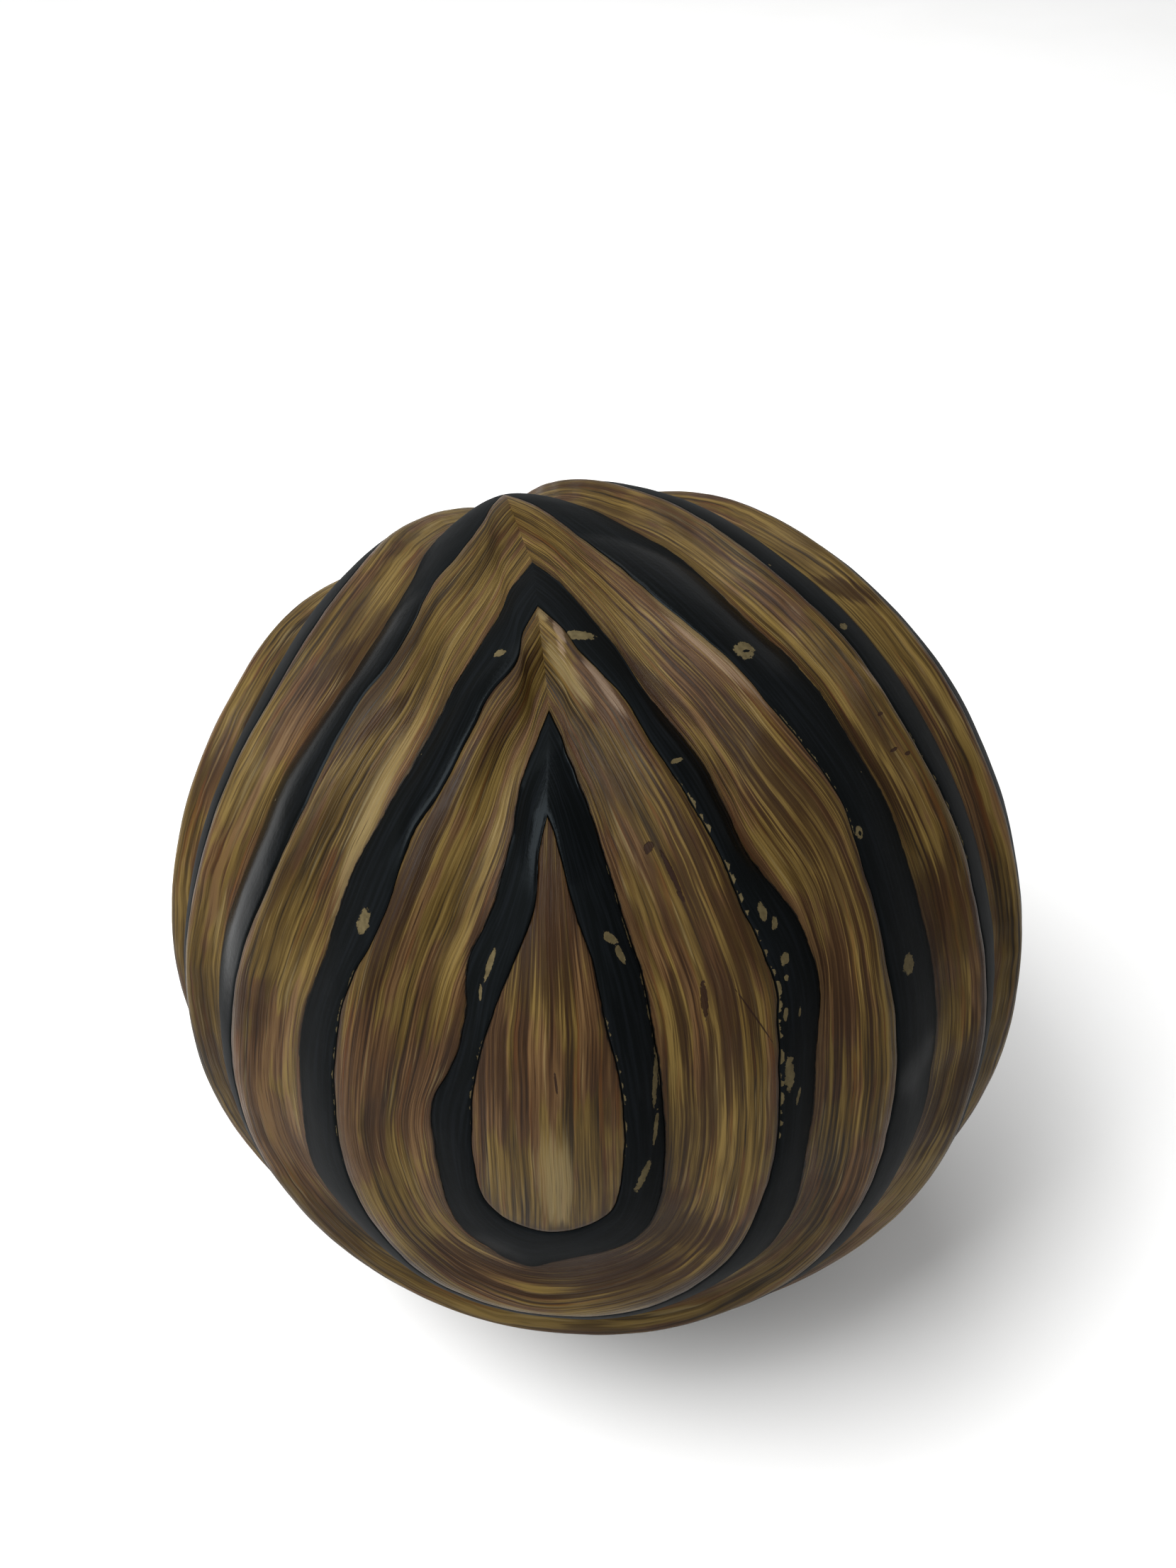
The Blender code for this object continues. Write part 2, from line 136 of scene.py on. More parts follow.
def cad_mesh(node: str) -> bmesh.types.BMesh:
    """A CAD node's mesh with its doubled corners joined."""
    mesh = bmesh.new()
    mesh.from_mesh(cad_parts[node].data)
    bmesh.ops.remove_doubles(mesh, verts=mesh.verts, dist=0.01 * MM)
    return mesh


def wall_loops(node: str, centre: np.ndarray) -> list[np.ndarray]:
    """Reads the outlines of a CAD band from its walls, whose upright edges point at the ball's centre.

    Args:
        node: the CAD node.
        centre: the centre of the ball.

    Returns:
        One closed loop of unit directions for each wall, the innermost first. Each starts at the outline's tip.
    """
    mesh = cad_mesh(node)
    middle = Vector(centre)
    tops = set()
    for edge in mesh.edges:
        a, b = (vertex.co - middle for vertex in edge.verts)
        if a.angle(b) < UPRIGHT_ANGLE:
            tops.add(max(edge.verts, key=lambda vertex: (vertex.co - middle).length))
    loops = []
    left = set(tops)
    while left:
        chain = [left.pop()]
        while True:
            near = [edge.other_vert(chain[-1]) for edge in chain[-1].link_edges]
            near = [vertex for vertex in near if vertex in left]
            if not near:
                break
            chain.append(min(near, key=lambda vertex: (vertex.co - chain[-1].co).length))
            left.discard(chain[-1])
        loops.append(unit(np.array([vertex.co - middle for vertex in chain])))
    mesh.free()
    loops.sort(key=lambda rows: -float(np.mean(rows @ pole_of(node))))
    return [from_tip(rows, pole_of(node)) for rows in loops]


def pole_of(node: str) -> np.ndarray:
    """The pole that a band goes round: the front one, or the back one."""
    return -FRONT if node.startswith("back") else FRONT


def from_tip(rows: np.ndarray, pole: np.ndarray) -> np.ndarray:
    """A closed loop that starts at its sharpest corner and goes down its left side first."""
    before = unit(rows - np.roll(rows, 1, axis=0))
    after = unit(np.roll(rows, -1, axis=0) - rows)
    rows = np.roll(rows, -int(np.argmin((before * after).sum(axis=1))), axis=0)
    around = np.cross(rows, np.roll(rows, -1, axis=0)).sum(axis=0) @ pole
    return rows if around > 0.0 else np.roll(rows[::-1], 1, axis=0)


@dataclass(frozen=True)
class Outline:
    """A closed outline on the ball, as directions of stations that start at its tip."""

    stations: np.ndarray

    def at(self, places: np.ndarray) -> np.ndarray:
        """Directions on a smooth curve through the stations, with a corner at the tip.

        Args:
            places: distances along the outline, counted in stations.

        Returns:
            One unit direction for each place.
        """
        knots = np.vstack([self.stations, self.stations[:1]])
        slopes = np.empty_like(knots)
        slopes[1:-1] = (knots[2:] - knots[:-2]) / 2.0
        slopes[0] = knots[1] - knots[0]
        slopes[-1] = knots[-1] - knots[-2]
        first = np.minimum(places.astype(int), len(knots) - 2)
        t = (places - first)[:, None]
        start = knots[first] * (2 * t**3 - 3 * t**2 + 1) + slopes[first] * (t**3 - 2 * t**2 + t)
        end = knots[first + 1] * (3 * t**2 - 2 * t**3) + slopes[first + 1] * (t**3 - t**2)
        return unit(start + end)

    def carved(self, columns: int) -> np.ndarray:
        """The outline as a hand cuts it: evenly spaced columns that wander a little to either side.

        Args:
            columns: how many directions to give.

        Returns:
            Unit directions, one for each column.
        """
        places = np.arange(columns) * (len(self.stations) / columns)
        rows = self.at(places)
        along = unit(np.roll(rows, -1, axis=0) - np.roll(rows, 1, axis=0))
        around = np.cross(rows, np.roll(rows, -1, axis=0)).sum(axis=0) @ FRONT
        sideways = np.cross(rows, along) * math.copysign(1.0, around)
        wander = grain_noise(rows, 7.0 * MM) * 0.22 * MM + grain_noise(rows, 2.1 * MM) * 0.12 * MM
        from_tip_mm = np.linalg.norm(rows - rows[0], axis=1) * BALL_RADIUS / MM
        calm = np.clip(from_tip_mm / 4.0, 0.0, 1.0)
        return unit(rows + sideways * (wander * calm / BALL_RADIUS)[:, None])


def calmed(rows: np.ndarray) -> np.ndarray:
    """A closed line of directions without its small bends, as a long brush stroke follows it; the tip stays."""
    reach = 9
    kernel = np.hanning(2 * reach + 1)
    padded = np.vstack([rows[0] + (rows[0] - rows[reach:0:-1]), rows, rows[:1], rows[0] + (rows[0] - rows[-1:-reach:-1])])
    smooth = np.stack([np.convolve(padded[:, i], kernel / kernel.sum(), "valid") for i in range(3)], axis=1)
    return unit(smooth[: len(rows)])


def grain_noise(rows: np.ndarray, wavelength: float) -> np.ndarray:
    """Smooth noise from -1 to 1 at directions on the ball, with the given wavelength in metres."""
    scaled = rows * (BALL_RADIUS / wavelength)
    return np.array([noise.noise(Vector(row)) for row in scaled])


def distance_to(points: np.ndarray, line: np.ndarray) -> np.ndarray:
    """Distance from each direction to the nearest one of a line of directions, in millimetres on the ball."""
    nearest = np.empty(len(points))
    for start in range(0, len(points), 2000):
        block = points[start : start + 2000]
        nearest[start : start + 2000] = np.sqrt(np.clip(2.0 - 2.0 * (block @ line.T).max(axis=1), 0.0, None))
    return nearest * BALL_RADIUS / MM


# Between the front's fourth crest and the back's second crest ----------------------------------------------------

def polar(rows: np.ndarray) -> tuple[np.ndarray, np.ndarray]:
    """Turns about the front pole, and angles away from it, in radians."""
    return np.arctan2(rows @ RIGHT, rows @ UP), np.arccos(np.clip(rows @ FRONT, -1.0, 1.0))


def away_at(outline: np.ndarray, turns: np.ndarray) -> np.ndarray:
    """Angles from the front pole at which an outline round the ball crosses the given turns."""
    own_turns, own_away = polar(outline)
    order = np.argsort(own_turns)
    return np.interp(turns, own_turns[order], own_away[order], period=math.tau)


def between(start: np.ndarray, end: np.ndarray, turns: np.ndarray, share: float) -> np.ndarray:
    """An outline that lies at a share of the way from one outline to another.

    Args:
        start: directions of the outline at share 0.
        end: directions of the outline at share 1.
        turns: turns about the front pole at which the new outline gets a station.
        share: how far the new outline lies on the way.

    Returns:
        Unit directions, one for each turn.
    """
    away = away_at(start, turns) * (1.0 - share) + away_at(end, turns) * share
    across = np.outer(np.sin(turns), RIGHT) + np.outer(np.cos(turns), UP)
    return across * np.sin(away)[:, None] + np.outer(np.cos(away), FRONT)


# Bands ----------------------------------------------------------------------------------------------------------

@dataclass(frozen=True)
class Worn:
    """A stretch of a band's edge where the paint has flaked, by turns about the middle of the teardrops."""

    band: str
    side: Side
    start_degrees: float
    end_degrees: float
    strength: float


WORN_STRETCHES = (
    Worn("front_black_2", Side.INNER, 24.0, 118.0, 1.0),
    Worn("front_black_2", Side.INNER, -125.0, -66.0, 0.5),
    Worn("front_black_1", Side.OUTER, 12.0, 120.0, 0.55),
    Worn("front_black_1", Side.INNER, 60.0, 150.0, 0.6),
    Worn("front_black_1", Side.INNER, -140.0, -80.0, 0.55),
    Worn("front_black_3", Side.INNER, 30.0, 62.0, 0.45),
    Worn("front_black_2", Side.OUTER, 70.0, 100.0, 0.35),
    Worn("front_black_4", Side.INNER, 45.0, 75.0, 0.5),
    Worn("back_black_2", Side.INNER, 20.0, 100.0, 0.7),
    Worn("back_black_1", Side.OUTER, -120.0, -20.0, 0.5),
    Worn("seam_black", Side.INNER, -60.0, 40.0, 0.4),
)
TEARDROP_MIDDLE = (-6.0, -16.0)
USUAL_WEAR = 0.12


def wave_depth(wave: Wave, share: np.ndarray) -> np.ndarray:
    """Depth below the crest across a band, as a share of the wave's full depth.

    Args:
        wave: the wave's shape.
        share: places across the band, from 0 at its inner edge to 1 at its outer edge.

    Returns:
        The depth at each place.
    """
    fall = 0.2 * share + 0.8 * share**2
    if wave is Wave.FALLING:
        return 0.07 + 0.86 * fall
    if wave is Wave.FIRST_FALL:
        start = DROP_DISH / WAVE_DEPTH
        return start + (0.93 - start) * fall
    if wave is Wave.MEETING:
        return 0.07 + 0.9 * np.sin(math.pi * share)
    valley, crest = 0.15, 0.88
    inner = 1.0 - 0.07 * (1.0 - share / valley) ** 2
    climb = 0.5 * (1.0 + np.cos(math.pi * np.clip((share - valley) / (crest - valley), 0.0, 1.0) ** 1.25))
    outer = 0.07 * ((share - crest) / (1.0 - crest)) ** 2
    return np.where(share < valley, inner, np.where(share > crest, outer, climb))


@dataclass
class Band:
    """A ring between two outlines, or the drop in the middle when it has no inner outline."""

    name: str
    wave: Wave
    outer: Outline
    inner: Outline
    centre: np.ndarray
    cell: float = 0.55 * MM
    hairline: float = 0.03 * MM
    seat_radius: float = 45.0 * MM
    edge_offsets: tuple = (0.0, 0.15, 0.35, 0.65)

    def columns(self) -> int:
        """How many columns of cells go round the band."""
        rows = np.vstack([self.outer.stations, self.outer.stations[:1]])
        return int(np.linalg.norm(np.diff(rows, axis=0), axis=1).sum() * BALL_RADIUS / (self.cell * 1.3))

    def across(self, width: np.ndarray) -> np.ndarray:
        """Shares across the band at which the mesh has points, closer together near the edges.

        Args:
            width: the band's width in millimetres at each column.

        Returns:
            One row of shares for each column.
        """
        border = np.minimum(1.0, width / 3.0)[:, None]
        offsets = np.array(self.edge_offsets)[None, :] * border
        middle_count = max(3, int((width.mean() - 1.3) * MM / self.cell))
        first = offsets[:, -1:]
        steps = np.arange(1, middle_count + 1)[None, :] / (middle_count + 1)
        middle = first + (width[:, None] - 2.0 * first) * steps
        far = width[:, None] - offsets[:, ::-1]
        return np.hstack([offsets, middle, far]) / width[:, None]

    def build(self) -> bpy.types.Object:
        """Makes the band's mesh: its carved face, two walls and a seat, with grain and edge distances.

        Returns:
            The finished object, in the row frame.
        """
        count = self.columns()
        start = self.inner.carved(count)
        end = self.outer.carved(count)
        gap = self.hairline / BALL_RADIUS
        step = unit(end - start)
        inner_edge = unit(start + step * gap)
        outer_edge = unit(end - step * gap)
        width = np.linalg.norm(outer_edge - inner_edge, axis=1) * BALL_RADIUS / MM
        share = self.across(width)
        rows = unit(inner_edge[:, None, :] * (1.0 - share[..., None]) + outer_edge[:, None, :] * share[..., None])
        flat = rows.reshape(-1, 3)
        to_inner = distance_to(flat, start)
        to_outer = distance_to(flat, end)
        place = share.reshape(-1) if self.wave is Wave.RISING else to_inner / (to_inner + to_outer)
        depth = wave_depth(self.wave, place) * WAVE_DEPTH
        radius = (BALL_RADIUS - depth - self.groove(np.minimum(to_inner, to_outer)) + self.carving(flat))
        seat_share = np.linspace(1.0, 0.0, 6)
        seat = unit(inner_edge[:, None, :] * (1.0 - seat_share[:, None]) + outer_edge[:, None, :] * seat_share[:, None])
        face = (flat * np.minimum(radius, BALL_RADIUS)[:, None]).reshape(rows.shape)
        points = np.concatenate([face, seat * self.seat_radius], axis=1)
        length = np.linalg.norm(np.roll(rows, -1, axis=0) - rows, axis=2).mean(axis=1) * BALL_RADIUS / MM
        along = np.concatenate([[0.0], np.cumsum(length)])
        inner_stroke, outer_stroke = calmed(start), calmed(end)
        from_middle = rows - (inner_stroke + outer_stroke)[:, None, :] / 2.0
        direction = unit(outer_stroke - inner_stroke)[:, None, :]
        across = (from_middle * direction).sum(axis=-1) * BALL_RADIUS / MM + width.mean()
        grain = np.stack([np.broadcast_to(along[:-1, None], share.shape), across], axis=-1)
        closing = np.stack([np.full(share.shape[1], along[-1]), across[0]], axis=-1)
        mesh = ring_mesh(self.name, points + self.centre, share.shape[1], grain, closing)
        wear = [self.wear(flat, side) for side in Side]
        for name, values in zip(("edge_in", "edge_out", "wear_in", "wear_out"), (to_inner, to_outer, *wear)):
            set_point_values(mesh, name, values.reshape(share.shape), points.shape[1])
        return new_object(self.name + "_carved", mesh)

    def groove(self, edge_mm: np.ndarray) -> np.ndarray:
        """Depth of the line scored along the edges, in metres, at distances from the edge in millimetres."""
        return 0.15 * MM * np.exp(-((edge_mm / 0.16) ** 2))

    def carving(self, rows: np.ndarray) -> np.ndarray:
        """Unevenness that the carver's tools leave in the face, in metres."""
        return grain_noise(rows, 10.0 * MM) * 0.14 * MM + grain_noise(rows, 3.0 * MM) * 0.035 * MM

    def wear(self, rows: np.ndarray, side: Side) -> np.ndarray:
        """How strongly the paint has flaked along one edge at each direction, from 0 to 1."""
        pole, right, up = chart_of(self.name)
        away = np.degrees(np.arccos(np.clip(rows @ pole, -1.0, 1.0)))
        turn = np.arctan2(rows @ right, rows @ up)
        x = away * np.sin(turn) - TEARDROP_MIDDLE[0]
        y = away * np.cos(turn) - TEARDROP_MIDDLE[1]
        degrees = np.degrees(np.arctan2(x, y))
        wear = np.full(len(rows), USUAL_WEAR)
        for worn in WORN_STRETCHES:
            if worn.band == self.name and worn.side is side:
                inside = np.minimum(degrees - worn.start_degrees, worn.end_degrees - degrees)
                wear += (worn.strength - USUAL_WEAR) * np.clip(inside / 8.0, 0.0, 1.0)
        return wear


def chart_of(node: str) -> tuple[np.ndarray, np.ndarray, np.ndarray]:
    """A band's pole, and the directions that are its right and up."""
    return (-FRONT, UP, RIGHT) if node.startswith("back") else (FRONT, RIGHT, UP)


@dataclass
class Drop(Band):
    """The cushion in the middle of a side, whose brushed grain runs straight down from its tip."""

    def build(self) -> bpy.types.Object:
        """Makes the cushion's mesh from loops that shrink to its middle, with its grain and edge distances."""
        count = self.columns()
        edge = self.outer.carved(count)
        middle = unit(edge.mean(axis=0))
        edge = unit(edge + unit(middle - edge) * (self.hairline / BALL_RADIUS))
        loops = max(12, int(np.linalg.norm(edge - middle, axis=1).mean() * BALL_RADIUS / self.cell))
        share = np.concatenate([1.0 - np.array((0.0, 0.012, 0.03, 0.06)), np.linspace(0.93, 0.002, loops)])
        rows = unit(middle * (1.0 - share[:, None, None]) + edge[None, :, :] * share[:, None, None])
        flat = rows.reshape(-1, 3)
        to_outer = distance_to(flat, self.outer.carved(count))
        cushion = np.repeat(share**2, count)
        radius = BALL_RADIUS - DROP_DISH * cushion - self.groove(to_outer) + self.carving(flat)
        face = (flat * np.minimum(radius, BALL_RADIUS)[:, None]).reshape(rows.shape)
        seat_share = np.array((0.002, 0.5, 1.0))[:, None, None]
        seat = unit(middle * (1.0 - seat_share) + edge[None] * seat_share)
        points = np.concatenate([seat * self.seat_radius, face], axis=0).transpose(1, 0, 2)
        shape = (count, len(share))
        grain = self.straight_grain(rows.transpose(1, 0, 2).reshape(-1, 3)).reshape(*shape, 2)
        points = points[:, ::-1] + self.centre
        mesh = ring_mesh(self.name, points, len(share), grain[:, ::-1], grain[0, ::-1], tube=False)
        by_column = to_outer.reshape(len(share), count).T[:, ::-1]
        wear = self.wear(rows.transpose(1, 0, 2).reshape(-1, 3), Side.OUTER).reshape(shape)[:, ::-1]
        far = np.full(shape, 50.0)
        for name, values in (("edge_in", far), ("edge_out", by_column), ("wear_in", far * 0.0), ("wear_out", wear)):
            set_point_values(mesh, name, values, points.shape[1])
        close_holes(mesh)
        return new_object(self.name + "_carved", mesh)

    def straight_grain(self, rows: np.ndarray) -> np.ndarray:
        """Distances down from the tip and across in millimetres; lines draw together towards the tip."""
        pole, right, up = chart_of(self.name)
        scale = BALL_RADIUS / MM
        tip = self.outer.stations[0]
        down = (np.arcsin(tip @ up) - np.arcsin(rows @ up)) * scale
        across = (rows @ right - tip @ right) * scale
        gather = 0.4 + 0.6 * np.clip(down / 20.0, 0.0, 1.0)
        return np.stack([down, across / gather], axis=-1)


# Meshes ---------------------------------------------------------------------------------------------------------

def ring_mesh(
    name: str, points: np.ndarray, face_count: int, grain: np.ndarray, closing: np.ndarray, tube: bool = True
) -> bpy.types.Mesh:
    """A closed ring from columns of points, with a grain map on its outer face.

    Args:
        name: the mesh's name.
        points: columns x points x 3; each column goes across the face and back along the seat.
        face_count: how many of a column's points lie on the face.
        grain: columns x face points x 2, in millimetres along and across the grain.
        closing: face points x 2, the grain at the end of the last column.
        tube: whether each column's last point joins its first one.

    Returns:
        The mesh, whose faces point outwards.
    """
    points = np.clip(points, *CAD_BOX)
    columns, width = points.shape[:2]
    strips = width if tube else width - 1
    here, row = np.meshgrid(np.arange(columns), np.arange(strips), indexing="ij")
    there = (here + 1) % columns
    after = (row + 1) % width
    corners = np.stack([here * width + row, here * width + after, there * width + after, there * width + row], -1)
    faces = corners.reshape(-1, 4)
    full = np.zeros((columns + 1, width, 2))
    full[:-1, :face_count] = grain
    full[-1, :face_count] = closing
    full[:, face_count:] = full[:, face_count - 1 : face_count]
    values = np.stack([full[here, row], full[here, after], full[here + 1, after], full[here + 1, row]], axis=-2)
    values = values.reshape(-1, 4, 2)
    flat = points.reshape(-1, 3)
    sample = faces[columns // 2 * strips + face_count // 2]
    normal = np.cross(flat[sample[1]] - flat[sample[0]], flat[sample[2]] - flat[sample[0]])
    if normal @ (flat[sample[0]] - ball_centre()) < 0.0:
        faces = faces[:, ::-1]
        values = values[:, ::-1]
    mesh = bpy.data.meshes.new(name)
    mesh.from_pydata(flat.tolist(), [], faces.tolist())
    layer = mesh.uv_layers.new(name="grain")
    layer.data.foreach_set("uv", np.ascontiguousarray(values, dtype=np.float32).reshape(-1))
    mesh.shade_smooth()
    mesh.set_sharp_from_angle(angle=math.radians(50.0))
    return mesh


def set_point_values(mesh: bpy.types.Mesh, name: str, values: np.ndarray, width: int) -> None:
    """Stores a value for each point of the face; the points of the walls and the seat get the edge's value."""
    full = np.zeros((values.shape[0], width))
    full[:, : values.shape[1]] = values
    attribute = mesh.attributes.new(name, "FLOAT", "POINT")
    attribute.data.foreach_set("value", full.reshape(-1).astype(np.float32))


def close_holes(mesh: bpy.types.Mesh) -> None:
    """Fills the small openings left in the middle of a mesh."""
    work = bmesh.new()
    work.from_mesh(mesh)
    bmesh.ops.holes_fill(work, edges=[edge for edge in work.edges if edge.is_boundary], sides=0)
    work.to_mesh(mesh)
    work.free()


def new_object(name: str, mesh: bpy.types.Mesh) -> bpy.types.Object:
    """An object for a mesh, linked into the scene."""
    made = bpy.data.objects.new(name, mesh)
    bpy.context.scene.collection.objects.link(made)
    return made


def with_opening(piece: bpy.types.Object, centre: np.ndarray, radius: float) -> None:
    """Cuts the round opening for the plug through the bottom of a band."""
    work = bmesh.new()
    placed = Matrix.Translation(Vector((centre[0], centre[1], 0.0)))
    bmesh.ops.create_cone(
        work, cap_ends=True, segments=96, radius1=radius, radius2=radius, depth=20.0 * MM, matrix=placed
    )
    mesh = bpy.data.meshes.new("plug_opening")
    work.to_mesh(mesh)
    work.free()
    cutter = new_object("plug_opening", mesh)
    cut = piece.modifiers.new("plug opening", "BOOLEAN")
    cut.operation = "DIFFERENCE"
    cut.solver = "EXACT"
    cut.object = cutter
    result = bpy.data.meshes.new_from_object(piece.evaluated_get(bpy.context.evaluated_depsgraph_get()))
    piece.modifiers.clear()
    piece.data = result
    bpy.data.objects.remove(cutter)


# Colours and nodes ----------------------------------------------------------------------------------------------

def linear(colour: str) -> tuple[float, float, float, float]:
    """An sRGB hex colour such as "#5a4a29" as linear red, green, blue and alpha."""
    channels = [int(colour[i : i + 2], 16) / 255.0 for i in (1, 3, 5)]
    return (*(c / 12.92 if c <= 0.04045 else ((c + 0.055) / 1.055) ** 2.4 for c in channels), 1.0)


def add_node(tree: bpy.types.NodeTree, kind: str, inputs: dict | None = None, stops=(), **settings) -> bpy.types.Node:
    """Adds a node to a material's tree.

    Args:
        tree: the node tree.
        kind: the node's type.
        inputs: socket names or numbers, each with a value or with the output that feeds it.
        stops: for a colour ramp, its (position, colour) pairs.
        **settings: the node's own properties.

    Returns:
        The new node.
    """
    made = tree.nodes.new(kind)
    for key, value in settings.items():
        setattr(made, key, value)
    for key, value in (inputs or {}).items():
        if isinstance(value, bpy.types.NodeSocket):
            tree.links.new(value, made.inputs[key])
        else:
            made.inputs[key].default_value = value
    for i, (position, colour) in enumerate(stops):
        elements = made.color_ramp.elements
        stop = elements[i] if i < 2 else elements.new(position)
        stop.position = position
        stop.color = linear(colour)
    return made


# Finishes -------------------------------------------------------------------------------------------------------

@dataclass(frozen=True)
class Mark:
    """A chip, scratch or spot on the paint, placed in degrees to the right of the front pole and above it."""

    right: float
    up: float
    length_mm: float
    width_mm: float
    tilt_degrees: float

    def axes(self, centre: np.ndarray) -> tuple[Vector, Vector, Vector]:
        """The mark's middle in metres, and its two half-axes as directions divided by their length in millimetres."""
        out = on_front(self.right, self.up)
        up = unit(UP - out * (out @ UP))
        right = np.cross(up, out)
        tilt = math.radians(self.tilt_degrees)
        along = up * math.cos(tilt) + right * math.sin(tilt)
        across = right * math.cos(tilt) - up * math.sin(tilt)
        middle = centre + out * BALL_RADIUS
        return Vector(middle), Vector(along * 2.0 / self.length_mm), Vector(across * 2.0 / self.width_mm)


def mark_group() -> bpy.types.NodeTree:
    """A node group that gives 1 inside an oval mark and 0 outside; jag makes its edge ragged, and soft blurs it."""
    tree = bpy.data.node_groups.new("oval_mark", "ShaderNodeTree")
    for socket in ("Place", "Middle", "Along", "Across"):
        tree.interface.new_socket(socket, in_out="INPUT", socket_type="NodeSocketVector")
    for socket in ("Jag", "Soft"):
        tree.interface.new_socket(socket, in_out="INPUT", socket_type="NodeSocketFloat")
    tree.interface.new_socket("Mask", in_out="OUTPUT", socket_type="NodeSocketFloat")
    given = add_node(tree, "NodeGroupInput").outputs
    away = add_node(tree, "ShaderNodeVectorMath", {0: given["Place"], 1: given["Middle"]}, operation="SUBTRACT")
    in_mm = add_node(tree, "ShaderNodeVectorMath", {0: away.outputs[0], "Scale": 1.0 / MM}, operation="SCALE")
    squares = []
    for axis in ("Along", "Across"):
        part = add_node(tree, "ShaderNodeVectorMath", {0: in_mm.outputs[0], 1: given[axis]}, operation="DOT_PRODUCT")
        square = add_node(tree, "ShaderNodeMath", {0: part.outputs["Value"], 1: 2.0}, operation="POWER")
        squares.append(square.outputs[0])
    total = add_node(tree, "ShaderNodeMath", {0: squares[0], 1: squares[1]}, operation="ADD")
    ragged = add_node(tree, "ShaderNodeMath", {0: total.outputs[0], 1: given["Jag"]}, operation="ADD")
    outside = add_node(tree, "ShaderNodeMath", {0: 1.0, 1: given["Soft"]}, operation="ADD")
    inside = add_node(tree, "ShaderNodeMath", {0: 1.0, 1: given["Soft"]}, operation="SUBTRACT")
    limits = {"Value": ragged.outputs[0], "From Min": outside.outputs[0], "From Max": inside.outputs[0]}
    mask = add_node(tree, "ShaderNodeMapRange", limits, interpolation_type="SMOOTHSTEP")
    add_node(tree, "NodeGroupOutput", {"Mask": mask.outputs[0]})
    return tree


